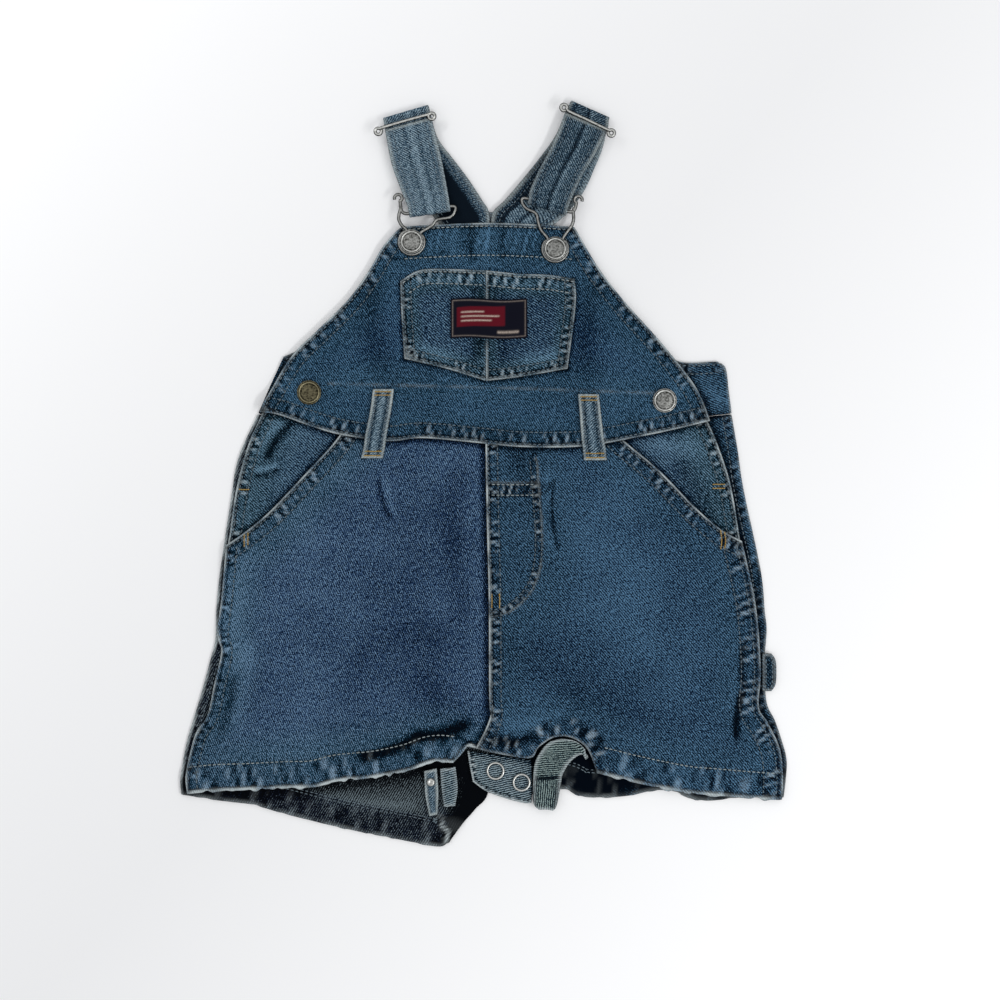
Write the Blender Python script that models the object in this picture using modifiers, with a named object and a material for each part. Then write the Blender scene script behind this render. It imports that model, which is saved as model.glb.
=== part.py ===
"""Baby denim shortalls lying flat, front side up.

Every cloth piece is a grid stretched between four measured edges, with its
height worked out from what lies under it, and a Solidify wall. The frame is
metres, +Z up, with the garment's top towards +Y and its origin in the middle
of the underside. The tables below are in millimetres.
"""

import math
from typing import NamedTuple

import bmesh
import bpy
import numpy as np

MM = 0.001                    # metres in a millimetre

# ---- cloth ---------------------------------------------------------------
WALL = 1.2                    # one layer of denim
HEM_WALL = 2.0                # a hem is folded double
STRAP_WALL = 1.5              # a strap is sewn double
TAB_WALL = 1.4
LABEL_WALL = 0.7
GAP = 0.35                    # air between two layers that lie on each other
HEM_DEPTH = 17.0              # height of a leg's hem band
TOP_HEM_DEPTH = 18.0          # height of the bib's top hem
STRAP_COLUMNS = 4             # squares across a strap
LONG_STEP = 9.0               # rows of a strap further apart get one between them

# ---- heights of the undersides over the table ----------------------------
FACING_HEIGHT = WALL + GAP
SIDE_SEAM_HEIGHT = WALL + GAP
HEM_HEIGHT = HEM_WALL + GAP
LEG_HEIGHT = 3.15             # on the pocket facings, and over the hollow leg
BIB_HEIGHT = 3.5              # over the straps' back runs
BIB_LAP_HEIGHT = 4.75         # where the bib laps over the legs
BIB_SIDE_HEIGHT = 2.6
LAP_REACH = 16.0              # how far up the bib its lap still lifts it
SEAM_LAP = 5.0                # leg cloth hidden under the bib's lower edge
WAIST_CLEAR = 0.6             # between the yoke and the back legs

# ---- metal ---------------------------------------------------------------
WIRE_RADIUS = 1.0             # buckles and sliders are 2 mm wire
BUTTON_RADIUS = 7.3           # 15 mm tack button
SHANK_RADIUS = 3.4
CAP_HEIGHT = 2.2
BUCKLE_HEIGHT = 6.5           # middle of a buckle's wire
BUCKLE_EYE = 7.6              # radius of its ring round the button
RING_SNAP_RADIUS = 4.8
RING_SNAP_WIRE = 0.7
STUD_RADIUS = 2.6

BACK_RUN = WALL + GAP + STRAP_WALL / 2          # middle of a strap's back run
LOWER_RUN = BACK_RUN + STRAP_WALL + GAP
UPPER_RUN = LOWER_RUN + STRAP_WALL + GAP
BUCKLE_RUN = BUCKLE_HEIGHT + WIRE_RADIUS + GAP + STRAP_WALL / 2

# ---- edges, x and y in mm ------------------------------------------------
WAIST = [(-133.2, 37.2), (-121.8, 35.4), (-101.4, 28.2), (-84.0, 23.4), (-56.4, 19.8),
         (-36.0, 21.6), (-1.8, 18.6), (25.2, 16.2), (61.2, 16.8), (95.4, 22.8),
         (112.8, 26.4), (135.6, 31.8)]
BIB_LEFT = [(-133.2, 37.2), (-129.0, 46.2), (-114.6, 70.2), (-98.4, 86.4), (-80.4, 104.4),
            (-67.6, 122.4), (-60.8, 134.4), (-53.4, 143.6), (-48.6, 147.8)]
BIB_RIGHT = [(135.6, 31.8), (127.8, 51.0), (111.0, 73.2), (99.6, 86.4), (83.4, 104.4),
             (68.4, 124.2), (54.6, 147.6)]
BIB_TOP = [(-48.6, 147.8), (-31.8, 148.8), (2.4, 150.0), (37.2, 148.8), (54.6, 147.6)]

LEFT_SIDE_SEAM = [(-177.0, -191.4), (-177.6, -178.8), (-172.2, -156.0), (-165.0, -144.6),
                  (-160.8, -125.4), (-156.6, -106.2), (-159.0, -96.0), (-156.0, -69.6),
                  (-153.6, -42.6)]
LEFT_SLANT = [(-153.6, -42.6), (-142.2, -34.8), (-127.2, -22.2), (-105.6, 0.6),
              (-90.6, 16.8), (-82.2, 28.0)]
RIGHT_SIDE_SEAM = [(178.8, -195.0), (179.4, -180.6), (177.6, -164.4), (170.4, -148.8),
                   (165.0, -139.2), (166.2, -117.0), (163.2, -78.6), (154.8, -40.2)]
RIGHT_SLANT = [(154.8, -40.2), (142.8, -33.6), (126.6, -19.8), (105.6, 1.8),
               (86.4, 18.0), (79.8, 24.0)]
CENTRE_SEAM = [(-4.5, -164.0), (1.5, -152.4), (4.6, -142.8), (3.6, -135.6), (3.3, -75.6),
               (2.1, -27.6), (1.2, 24.0)]
LEFT_HEM = [(-177.0, -191.4), (-157.8, -189.6), (-141.6, -189.0), (-118.2, -187.8),
            (-100.8, -187.2), (-85.8, -183.6), (-63.0, -181.2), (-43.2, -177.0),
            (-29.4, -172.2), (-18.0, -172.8)]
LEFT_INSEAM = [(-18.0, -172.8), (-12.6, -167.0), (-8.4, -162.0), (-4.5, -164.0)]
RIGHT_INSEAM = [(-4.5, -164.0), (10.2, -167.4), (28.2, -169.8), (33.6, -163.2),
                (43.2, -157.2), (53.4, -157.8), (62.4, -164.4), (68.4, -178.8)]
RIGHT_HEM = [(68.4, -178.8), (90.0, -184.2), (119.4, -190.2), (138.0, -192.0),
             (165.6, -194.4), (178.8, -195.0)]

BACK_LEFT_SIDE = [(-180.6, -192.0), (-181.2, -183.6), (-179.4, -171.6), (-177.0, -159.6),
                  (-173.4, -147.6), (-168.0, -129.6), (-163.2, -111.6), (-160.2, -99.6),
                  (-159.6, -81.6), (-157.2, -57.6), (-150.0, -9.6), (-148.2, 2.4), (-144.6, 14.4),
                  (-135.0, 35.4)]
BACK_LEFT_HEM = [(-180.6, -192.0), (-157.8, -195.6), (-138.0, -198.0), (-127.8, -201.0),
                 (-109.8, -205.8), (-82.8, -212.4), (-49.8, -219.0), (-27.6, -223.2),
                 (-20.4, -220.8)]
BACK_LEFT_INSEAM = [(-20.4, -220.8), (-12.6, -210.0), (-4.8, -201.0), (3.0, -190.2),
                    (3.6, -159.6), (2.4, -75.6), (2.4, 24.6)]
BACK_RIGHT_INSEAM = [(4.8, -187.8), (4.8, -159.6), (3.0, -75.6), (3.0, 24.6)]
BACK_RIGHT_HEM = [(4.8, -187.8), (28.2, -192.0), (47.4, -188.4), (57.0, -192.6),
                  (70.2, -193.8), (87.6, -192.6), (101.4, -189.8), (114.0, -189.8),
                  (124.2, -194.4), (136.2, -195.6), (154.2, -193.8), (180.0, -193.8)]
BACK_RIGHT_SIDE = [(180.0, -193.8), (181.2, -183.6), (181.8, -171.6), (178.8, -159.6),
                   (174.6, -147.6), (170.4, -139.2), (169.0, -129.6), (168.6, -111.6),
                   (169.8, -93.6), (168.6, -81.6), (166.2, -57.6), (156.0, -9.6),
                   (152.4, 14.4), (148.8, 35.4)]
BACK_WAIST = [(-135.0, 35.4), (-67.0, 28.0), (2.4, 24.6), (70.0, 28.0), (148.8, 35.4)]

YOKE_LEFT = [(-134.4, 36.6), (-128.4, 50.4), (-123.0, 62.4), (-119.4, 70.2)]
YOKE_RIGHT = [(148.8, 36.6), (147.0, 50.4), (145.2, 63.6), (140.4, 67.2)]
YOKE_TOP = [(-119.4, 70.2), (-109.8, 74.4), (-85.8, 85.2), (-58.8, 104.4), (-34.8, 127.2),
            (-22.8, 149.4), (-18.0, 164.4), (4.2, 156.6), (28.8, 165.6), (31.8, 149.4),
            (46.2, 127.2), (70.2, 104.4), (94.2, 83.4), (116.4, 67.8), (140.4, 67.2)]

FACING_LEFT_OUTER = [(-153.4, -45.8), (-151.6, -36.0), (-147.6, -9.0), (-140.4, 17.4),
                     (-132.6, 35.0), (-129.6, 40.8)]
FACING_LEFT_INNER = [(-148.2, -49.8), (-136.2, -43.8), (-120.0, -30.6), (-98.4, -7.8),
                     (-82.8, 10.2), (-71.4, 26.4)]
FACING_RIGHT_INNER = [(149.4, -49.8), (136.8, -42.0), (120.6, -28.2), (99.6, -6.6),
                      (79.2, 12.6), (70.2, 25.2)]
FACING_RIGHT_OUTER = [(155.4, -46.8), (153.6, -38.4), (148.2, -6.6), (140.4, 17.4),
                      (135.0, 30.0), (131.4, 36.6)]

POCKET_LEFT_SIDE = [(-46.8, 69.0), (-48.6, 96.6), (-49.2, 115.2)]
POCKET_LEFT_TOP = [(-49.2, 115.2), (-39.0, 121.2), (-25.8, 122.4), (1.6, 121.4)]
POCKET_LEFT_BOTTOM = [(-46.8, 69.0), (-21.6, 63.0), (1.6, 55.8)]
POCKET_RIGHT_SIDE = [(50.4, 63.0), (55.2, 100.8), (54.6, 116.4)]
POCKET_RIGHT_TOP = [(2.0, 121.4), (22.2, 119.4), (39.0, 118.8), (54.6, 116.4)]
POCKET_RIGHT_BOTTOM = [(2.0, 55.8), (22.2, 58.2), (50.4, 63.0)]
LABEL = {"left": -19.2, "right": 26.4, "bottom": 81.0, "top": 104.4}

PLACKET_LEFT = [(-5.9, -184.2), (-7.8, -174.6), (-9.2, -165.8)]
PLACKET_BOTTOM = [(-5.9, -184.2), (1.8, -189.6), (13.2, -193.8), (24.4, -196.8)]
PLACKET_RIGHT = [(24.4, -196.8), (26.6, -183.6), (27.4, -171.4)]
PLACKET_TOP = [(-9.2, -165.8), (10.0, -168.9), (27.4, -171.4)]
HAMMER_LOOP = {"left": 167.6, "right": 175.4, "bottom": -129.8, "top": -107.8}


class Row(NamedTuple):
    """One row across a strip of cloth, with the height of its middle."""

    left_x: float
    left_y: float
    right_x: float
    right_y: float
    height: float


class Fold(NamedTuple):
    """One soft ridge (or trough, with a negative rise) along a line."""

    from_x: float
    from_y: float
    to_x: float
    to_y: float
    reach: float
    rise: float


STRAP_LEFT_FRONT = [        # from under the slider down to the buckle
    Row(-58.2, 205.6, -31.4, 212.8, UPPER_RUN),
    Row(-54.6, 186.6, -25.8, 191.4, UPPER_RUN),
    Row(-49.8, 172.8, -22.8, 176.4, UPPER_RUN + 0.8),
    Row(-45.2, 161.2, -20.6, 164.4, BUCKLE_RUN - 0.4),
    Row(-43.9, 156.0, -20.0, 159.6, BUCKLE_RUN)]
STRAP_LEFT_BACK = [         # from the fold at the slider down to the yoke
    Row(-59.2, 211.6, -32.6, 219.4, BACK_RUN),
    Row(-54.6, 194.4, -27.6, 201.6, BACK_RUN),
    Row(-48.6, 181.2, -18.0, 188.4, BACK_RUN),
    Row(-40.2, 167.4, -9.0, 176.4, BACK_RUN),
    Row(-30.6, 156.0, -1.2, 164.4, BACK_RUN),
    Row(-22.8, 145.2, 3.4, 156.0, BACK_RUN),
    Row(-18.6, 136.8, 3.4, 141.6, BACK_RUN)]
STRAP_RIGHT_FRONT = [
    Row(49.4, 215.8, 73.8, 205.4, UPPER_RUN),
    Row(42.6, 198.6, 66.6, 190.8, UPPER_RUN),
    Row(34.2, 182.4, 59.4, 178.8, UPPER_RUN + 0.8),
    Row(28.4, 169.4, 52.4, 163.6, BUCKLE_RUN - 0.4),
    Row(27.6, 164.0, 50.2, 157.2, BUCKLE_RUN)]
STRAP_RIGHT_BACK = [
    Row(52.4, 222.0, 75.0, 212.0, BACK_RUN),
    Row(43.8, 202.8, 71.4, 195.6, BACK_RUN),
    Row(33.6, 188.4, 66.6, 183.6, BACK_RUN),
    Row(24.0, 176.4, 60.0, 169.2, BACK_RUN),
    Row(13.8, 164.4, 49.8, 156.0, BACK_RUN),
    Row(6.0, 156.0, 37.2, 145.2, BACK_RUN),
    Row(5.0, 141.6, 31.2, 136.8, BACK_RUN)]
BINDING_END = [             # from the rolled end up and over into the inseam
    Row(33.8, -200.0, 41.4, -200.6, 3.9),
    Row(30.4, -197.0, 43.8, -198.4, 4.2),
    Row(29.2, -186.6, 46.2, -186.2, 4.4),
    Row(29.4, -177.4, 47.4, -179.4, 4.4),
    Row(32.6, -167.8, 50.6, -173.2, 4.4),
    Row(43.2, -160.6, 55.6, -170.0, 4.6),
    Row(52.4, -160.8, 58.6, -170.6, 4.8),
    Row(60.0, -166.4, 61.6, -172.4, 4.8)]
TAB_INNER = [
    Row(-31.8, -204.6, -27.6, -203.6, 3.4),
    Row(-34.2, -192.6, -27.0, -191.4, 3.6),
    Row(-35.0, -178.0, -27.8, -176.4, 3.8)]
TAB_OUTER = [
    Row(-23.0, -199.0, -17.0, -198.4, 3.4),
    Row(-24.4, -189.6, -15.4, -188.4, 3.6),
    Row(-25.4, -176.6, -16.6, -175.6, 3.8)]

FOLDS = [
    Fold(-64.0, 2.0, -54.0, -30.0, 6.0, 0.9),       # left leg, below the pocket
    Fold(-80.0, -172.0, -24.0, -152.0, 8.0, 1.7),   # cloth swelling over the left hem
    Fold(-26.0, -128.0, -6.0, -154.0, 7.0, 1.1),    # left of the crotch seam
    Fold(8.0, -155.0, 46.0, -148.0, 6.5, 1.6),      # over the snap placket
    Fold(20.0, -128.0, 84.0, -112.0, 10.0, 0.9),    # right leg, from the crotch
    Fold(-30.0, -104.0, -96.0, -86.0, 12.0, 0.8),   # left leg, from the crotch
    Fold(46.0, 6.0, 49.0, -54.0, 5.0, 0.6),         # ridge of the mock fly's edge
    Fold(146.0, -126.0, 150.0, -162.0, 5.0, -0.7),  # crease inside the right side seam
    Fold(-8.0, 146.0, -10.0, 124.0, 5.0, 0.6),      # bib, between the buttons
    Fold(14.0, 147.0, 12.0, 124.0, 5.0, 0.5),
    Fold(-100.0, 60.0, -60.0, 40.0, 9.0, 0.6),      # bib, from the left side button
    Fold(104.0, 56.0, 66.0, 38.0, 9.0, 0.6)]        # bib, from the right side button
PUFF = 0.8                    # swell in the middle of a leg
PUCKER_WAVE = 9.5             # hem puckers, crest to crest
PUCKER_RISE = 0.45

BUTTONS = {                   # name: x, y
    "button_bib_left": (-42.6, 138.6),
    "button_bib_right": (43.2, 134.4),
    "button_side_left": (-103.8, 48.6),
    "button_side_right": (108.6, 43.8)}
RING_SNAPS = {"snap_ring_inner": (7.5, -177.6), "snap_ring_outer": (23.1, -184.5)}
STUD = (-31.2, -184.4)

# ---- colours, linear -----------------------------------------------------
DENIM = (0.040, 0.090, 0.140, 1.0)
DENIM_BACK = (0.022, 0.045, 0.080, 1.0)
DENIM_STRAP = (0.070, 0.110, 0.140, 1.0)
LABEL_RED = (0.090, 0.010, 0.020, 1.0)
METAL = (0.450, 0.440, 0.420, 1.0)


def smoothstep(low, high, value):
    """Return 0 below low, 1 above high and a smooth step between."""
    share = np.clip((value - low) / (high - low), 0.0, 1.0)
    return share * share * (3.0 - 2.0 * share)


def finish(name, colour, roughness, metallic=0.0):
    """Return a Principled material."""
    material = bpy.data.materials.new(name)
    material.use_nodes = True
    shader = material.node_tree.nodes["Principled BSDF"]
    shader.inputs["Base Color"].default_value = colour
    shader.inputs["Roughness"].default_value = roughness
    shader.inputs["Metallic"].default_value = metallic
    return material


# ---- edges ---------------------------------------------------------------
def along(points, count):
    """Spread count points evenly along a smooth curve through the given points."""
    given = np.array(points, dtype=float)
    steps = np.linspace(0.0, 1.0, 12, endpoint=False)[:, None]
    padded = np.vstack([2 * given[0] - given[1], given, 2 * given[-1] - given[-2]])
    pieces = []
    for a, b, c, d in zip(padded[:-3], padded[1:-2], padded[2:-1], padded[3:]):
        pieces.append(0.5 * (2 * b + (c - a) * steps + (2 * a - 5 * b + 4 * c - d) * steps**2
                             + (3 * b - a - 3 * c + d) * steps**3))
    curve = np.vstack(pieces + [given[-1:]])
    length = np.concatenate([[0.0], np.cumsum(np.linalg.norm(np.diff(curve[:, :2], axis=0), axis=1))])
    wanted = np.linspace(0.0, length[-1], count)
    return np.column_stack([np.interp(wanted, length, column) for column in curve.T])


def joined(runs, count):
    """Join edges that meet at sharp corners, each with its share of the points."""
    lengths = [np.linalg.norm(np.diff(np.array(run), axis=0), axis=1).sum() for run in runs]
    total = sum(lengths)
    shares = [max(1, round((count - 1) * length / total)) for length in lengths]
    shares[0] += count - 1 - sum(shares)
    pieces = [along(run, share + 1)[:-1] for run, share in zip(runs, shares)]
    return np.vstack(pieces + [np.array([runs[-1][-1]], dtype=float)])


def stretched(bottom, top, left, right, columns, rows):
    """Stretch a grid between four edges; each is a list of runs, left to right or upwards."""
    low, high = joined(bottom, columns + 1), joined(top, columns + 1)
    west, east = joined(left, rows + 1), joined(right, rows + 1)
    u = np.linspace(0.0, 1.0, columns + 1)[None, :, None]
    v = np.linspace(0.0, 1.0, rows + 1)[:, None, None]
    across = (1 - u) * west[:, None] + u * east[:, None]
    upwards = (1 - v) * low[None] + v * high[None]
    corners = ((1 - u) * (1 - v) * low[0] + u * (1 - v) * low[-1]
               + (1 - u) * v * high[0] + u * v * high[-1])
    return across + upwards - corners


# ---- heights of the undersides, in mm ------------------------------------
def edge_x(edge, y):
    """Read an edge's x at the heights y."""
    points = np.array(sorted(edge, key=lambda point: point[1]))
    return np.interp(y, points[:, 1], points[:, 0])


def edge_y(edge, x):
    """Read an edge's y at the places x."""
    points = np.array(edge)
    return np.interp(x, points[:, 0], points[:, 1])


def folds_at(x, y):
    """Add up the soft ridges: each falls away as a bell from its line."""
    rise = np.zeros_like(x)
    for fold in FOLDS:
        dx, dy = fold.to_x - fold.from_x, fold.to_y - fold.from_y
        length = math.hypot(dx, dy)
        share = ((x - fold.from_x) * dx + (y - fold.from_y) * dy) / length**2
        beyond = np.maximum(np.abs(share - 0.5) - 0.5, 0.0) * length
        beside = ((x - fold.from_x) * dy - (y - fold.from_y) * dx) / length
        rise += fold.rise * np.exp(-(beside**2 + beyond**2) / fold.reach**2)
    return rise


def bib_height(x, y):
    """Underside of the bib: low at its sides, lifted where it laps over the legs."""
    depth = np.minimum(x - edge_x(BIB_LEFT, y), edge_x(BIB_RIGHT, y) - x)
    height = BIB_SIDE_HEIGHT + (BIB_HEIGHT - BIB_SIDE_HEIGHT) * smoothstep(0.0, 22.0, depth)
    height = height + np.maximum(folds_at(x, y), 0.0)
    lap = 1.0 - smoothstep(SEAM_LAP + 1.0, LAP_REACH, y - edge_y(WAIST, x))
    return height + (BIB_LAP_HEIGHT - height) * lap


def bib_top(x, y):
    """Upper face of the bib's single layer."""
    return bib_height(x, y) + WALL


def leg_height(x, y):
    """Underside of a front leg: down on the back at its side seam, and swelling between."""
    left_side = sorted(LEFT_SIDE_SEAM + LEFT_SLANT[1:], key=lambda point: point[1])
    right_side = sorted(RIGHT_SIDE_SEAM + RIGHT_SLANT[1:], key=lambda point: point[1])
    depth = np.minimum(x - edge_x(left_side, y), edge_x(right_side, y) - x)
    side = np.interp(y, [-178.0, -166.0, -76.0, -56.0],
                     [HEM_HEIGHT, SIDE_SEAM_HEIGHT, SIDE_SEAM_HEIGHT, LEG_HEIGHT])
    height = side + (LEG_HEIGHT - side) * smoothstep(2.0, 24.0, depth)
    inner = smoothstep(8.0, 50.0, depth) * smoothstep(14.0, 50.0, edge_y(WAIST, x) - y)
    height = height + inner * (PUFF + folds_at(x, y))
    hem_line = np.where(x < 0.0, edge_y(LEFT_HEM, x), edge_y(RIGHT_HEM, x))
    near_hem = 1.0 - smoothstep(0.0, HEM_DEPTH, y - hem_line)
    return height + near_hem * PUCKER_RISE * (1.0 + np.sin(2 * math.pi * x / PUCKER_WAVE))


# ---- making ---------------------------------------------------------------
def grid_mesh(name, points):
    """Make an open sheet from a grid of points in mm, rows by columns."""
    rows, columns = points.shape[0] - 1, points.shape[1] - 1
    bm = bmesh.new()
    bmesh.ops.create_grid(bm, x_segments=columns, y_segments=rows, size=0.5)
    for vert in bm.verts:
        row = round((vert.co.y + 0.5) * rows)
        column = round((vert.co.x + 0.5) * columns)
        vert.co = points[row, column] * MM
    mesh = bpy.data.meshes.new(name)
    bm.to_mesh(mesh)
    bm.free()
    return mesh


def add_object(name, data, material):
    """Put a mesh or curve in the garment's collection."""
    obj = bpy.data.objects.new(name, data)
    data.materials.append(material)
    garment.objects.link(obj)
    return obj


def cloth(name, points, material, wall=WALL, hem=None, offset=1.0):
    """Give a sheet its wall; hem is a grid of 0 to 1 that thickens it to HEM_WALL."""
    mesh = grid_mesh(name, points)
    obj = add_object(name, mesh, material)
    solid = obj.modifiers.new("wall", "SOLIDIFY")
    solid.thickness = wall * MM
    solid.offset = offset
    if hem is not None:
        group = obj.vertex_groups.new(name="hem")
        rows, columns = points.shape[0] - 1, points.shape[1] - 1
        flat = points.reshape(-1, 3) * MM
        for vert in mesh.vertices:
            nearest = int(np.argmin(((flat - np.array(vert.co)) ** 2).sum(axis=1)))
            group.add([vert.index], float(hem[nearest // (columns + 1), nearest % (columns + 1)]), "REPLACE")
        solid.thickness = HEM_WALL * MM
        solid.vertex_group = "hem"
        solid.thickness_vertex_group = wall / HEM_WALL
    mesh.shade_smooth()
    return obj


def with_height(plan, height):
    """Lift a flat grid to the height, a number or a function of x and y."""
    z = height(plan[..., 0], plan[..., 1]) if callable(height) else np.full(plan.shape[:2], height)
    return np.dstack([plan, z])


def from_bottom(plan, depth):
    """Return 1 within depth of a grid's bottom edge, falling to 0 past it."""
    steps = np.linalg.norm(np.diff(plan, axis=0), axis=2)
    distance = np.vstack([np.zeros(plan.shape[1]), np.cumsum(steps, axis=0)])
    return 1.0 - smoothstep(depth - 1.0, depth + 3.0, distance)


def strip(name, rows, material, wall, samples, columns=5, crown=0.0):
    """Loft a strip of cloth through its rows; its middle may be crowned."""
    table = np.array(rows, dtype=float)
    middle = np.column_stack([(table[:, 0] + table[:, 2]) / 2, (table[:, 1] + table[:, 3]) / 2])
    path = along(np.column_stack([middle, table]), samples)
    left = path[:, [2, 3]]
    right = path[:, [4, 5]]
    share = np.linspace(0.0, 1.0, columns + 1)[None, :, None]
    plan = left[:, None] * (1 - share) + right[:, None] * share
    z = path[:, 6][:, None] + crown * np.sin(math.pi * share[0, :, 0])[None, :]
    return cloth(name, np.dstack([plan, z]), material, wall, offset=0.0)


def turned(front, low, high, steps=5):
    """Rows of a half turn past a row, out of its end, from one height to another."""
    last, before = np.array(front[-1]), np.array(front[-2])
    onward = (last[:2] + last[2:4] - before[:2] - before[2:4])
    across = last[2:4] - last[:2]
    square = np.array([across[1], -across[0]]) / np.linalg.norm(across)
    square = square * np.sign(square @ onward)
    radius = abs(high - low) / 2
    rows = []
    for angle in np.linspace(0.0, math.pi, steps + 2)[1:-1]:
        push = square * radius * math.sin(angle)
        height = (high + low) / 2 + (low - high) / 2 * math.cos(angle)
        rows.append(Row(*(last[:2] + push), *(last[2:4] + push), height))
    return rows


def lifted(rows, height):
    """Return the same rows at one height."""
    return [row._replace(height=height) for row in rows]


def strap(name, front, back):
    """Fold one strap: upper run, turn at the buckle, lower run, turn at the slider, back run."""
    under = lifted(front, LOWER_RUN)[::-1]
    under.append(back[0]._replace(height=LOWER_RUN))
    rows = (list(front) + turned(front, BUCKLE_RUN, LOWER_RUN) + under
            + turned(under, LOWER_RUN, BACK_RUN) + list(back))
    table = filled(np.array(rows, dtype=float))
    share = np.linspace(0.0, 1.0, STRAP_COLUMNS + 1)[None, :, None]
    points = table[:, None, [0, 1, 4]] * (1 - share) + table[:, None, [2, 3, 4]] * share
    cloth(name, points, denim_strap, STRAP_WALL, offset=0.0)


def filled(table):
    """Put one smooth row in the middle of each long step between rows."""
    out = [table[0]]
    padded = np.vstack([2 * table[0] - table[1], table, 2 * table[-1] - table[-2]])
    for a, b, c, d in zip(padded[:-3], padded[1:-2], padded[2:-1], padded[3:]):
        if np.linalg.norm(c[:4] - b[:4]) > LONG_STEP:
            middle = 0.5625 * (b + c) - 0.0625 * (a + d)
            middle[4] = (b[4] + c[4]) / 2
            out.append(middle)
        out.append(c)
    return np.array(out)


def wire(name, points, radius=WIRE_RADIUS):
    """Bend a wire through points in mm."""
    curve = bpy.data.curves.new(name, "CURVE")
    curve.dimensions = "3D"
    curve.bevel_depth = radius * MM
    curve.bevel_resolution = 1
    curve.use_fill_caps = True
    spline = curve.splines.new("POLY")
    spline.points.add(len(points) - 1)
    for target, point in zip(spline.points, points):
        target.co = (point[0] * MM, point[1] * MM, point[2] * MM, 1.0)
    return add_object(name, curve, metal)


def arc(centre, radius, start, end, count, height):
    """Points along an arc in plan, angles in degrees from +X."""
    angles = np.radians(np.linspace(start, end, count))
    return [(centre[0] + radius * math.cos(a), centre[1] + radius * math.sin(a), height) for a in angles]


def turned_solid(name, profile, place, material, steps=16):
    """Screw a profile of radius and height, from the axis out and down and back to it."""
    mesh = bpy.data.meshes.new(name)
    bm = bmesh.new()
    verts = [bm.verts.new((radius * MM, 0.0, height * MM)) for radius, height in profile]
    for a, b in zip(verts, verts[1:]):
        bm.edges.new((a, b))
    bm.to_mesh(mesh)
    bm.free()
    obj = add_object(name, mesh, material)
    obj.location = (place[0] * MM, place[1] * MM, place[2] * MM)
    screw = obj.modifiers.new("turn", "SCREW")
    screw.steps = steps
    screw.render_steps = steps
    screw.use_merge_vertices = True
    screw.merge_threshold = 0.00001
    screw.use_smooth_shade = True
    return obj


# ---- the garment ----------------------------------------------------------
for old in list(bpy.data.objects):
    bpy.data.objects.remove(old, do_unlink=True)
garment = bpy.data.collections.new("shortalls")
bpy.context.scene.collection.children.link(garment)

denim = finish("washed_denim", DENIM, 0.9)
denim_back = finish("denim_inside", DENIM_BACK, 0.92)
denim_strap = finish("strap_denim", DENIM_STRAP, 0.9)
label_cloth = finish("woven_label", LABEL_RED, 0.85)
metal = finish("nickel_plate", METAL, 0.35, 1.0)


def back_panels():
    """Two back legs and the yoke, flat on the table, and nothing else under them."""
    left_waist = [p for p in BACK_WAIST if p[0] <= 2.4]
    right_waist = [(3.0, 24.6)] + [p for p in BACK_WAIST if p[0] > 3.0]
    for name, bottom, top, left, right in (
            ("back_leg_left", BACK_LEFT_HEM, left_waist, BACK_LEFT_SIDE, BACK_LEFT_INSEAM),
            ("back_leg_right", BACK_RIGHT_HEM, right_waist, BACK_RIGHT_INSEAM, BACK_RIGHT_SIDE)):
        plan = stretched([bottom], [top], [left], [right], 16, 14)
        cloth(name, with_height(plan, 0.0), denim_back, hem=from_bottom(plan, HEM_DEPTH))
    waist = [(x, y + WAIST_CLEAR) for x, y in BACK_WAIST]
    waist[0], waist[-1] = YOKE_LEFT[0], YOKE_RIGHT[0]
    plan = stretched([waist], [YOKE_TOP], [YOKE_LEFT], [YOKE_RIGHT], 26, 6)
    cloth("back_yoke", with_height(plan, 0.0), denim_back)


def pocket_facings():
    """The cloth that shows behind each slanted pocket mouth."""
    for name, left, right in (
            ("pocket_facing_left", FACING_LEFT_OUTER, FACING_LEFT_INNER),
            ("pocket_facing_right", FACING_RIGHT_INNER, FACING_RIGHT_OUTER)):
        top = [left[-1], ((left[-1][0] + right[-1][0]) / 2, (left[-1][1] + right[-1][1]) / 2), right[-1]]
        bottom = [left[0], ((left[0][0] + right[0][0]) / 2, (left[0][1] + right[0][1]) / 2), right[0]]
        plan = stretched([bottom], [top], [left], [right], 4, 10)
        cloth(name, with_height(plan, FACING_HEIGHT), denim_back)


def front_legs():
    """Each front leg: hem and inseam below, pocket slant above the side seam."""
    lapped = [(x, y + SEAM_LAP) for x, y in WAIST]
    left_top = [LEFT_SLANT[-1]] + [p for p in lapped if -70.0 < p[0] < -10.0] + [(0.9, 24.0)]
    right_top = [(1.5, 24.0)] + [p for p in lapped if 10.0 < p[0] < 70.0] + [RIGHT_SLANT[-1]]
    left_centre = [(x - 0.3, y) for x, y in CENTRE_SEAM]
    right_centre = [(x + 0.3, y) for x, y in CENTRE_SEAM]
    inseam = LEFT_INSEAM[:-1] + [left_centre[0]]
    plan = stretched([LEFT_HEM], [left_top], [LEFT_SIDE_SEAM, LEFT_SLANT],
                     [inseam, left_centre], 18, 22)
    cloth("front_leg_left", with_height(plan, leg_height), denim, hem=from_bottom(plan, HEM_DEPTH))
    right_inseam = [right_centre[0]] + RIGHT_INSEAM[1:]
    plan = stretched([right_inseam, RIGHT_HEM], [right_top], [right_centre],
                     [RIGHT_SIDE_SEAM, RIGHT_SLANT], 20, 20)
    cloth("front_leg_right", with_height(plan, leg_height), denim, hem=from_bottom(plan, HEM_DEPTH))


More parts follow.
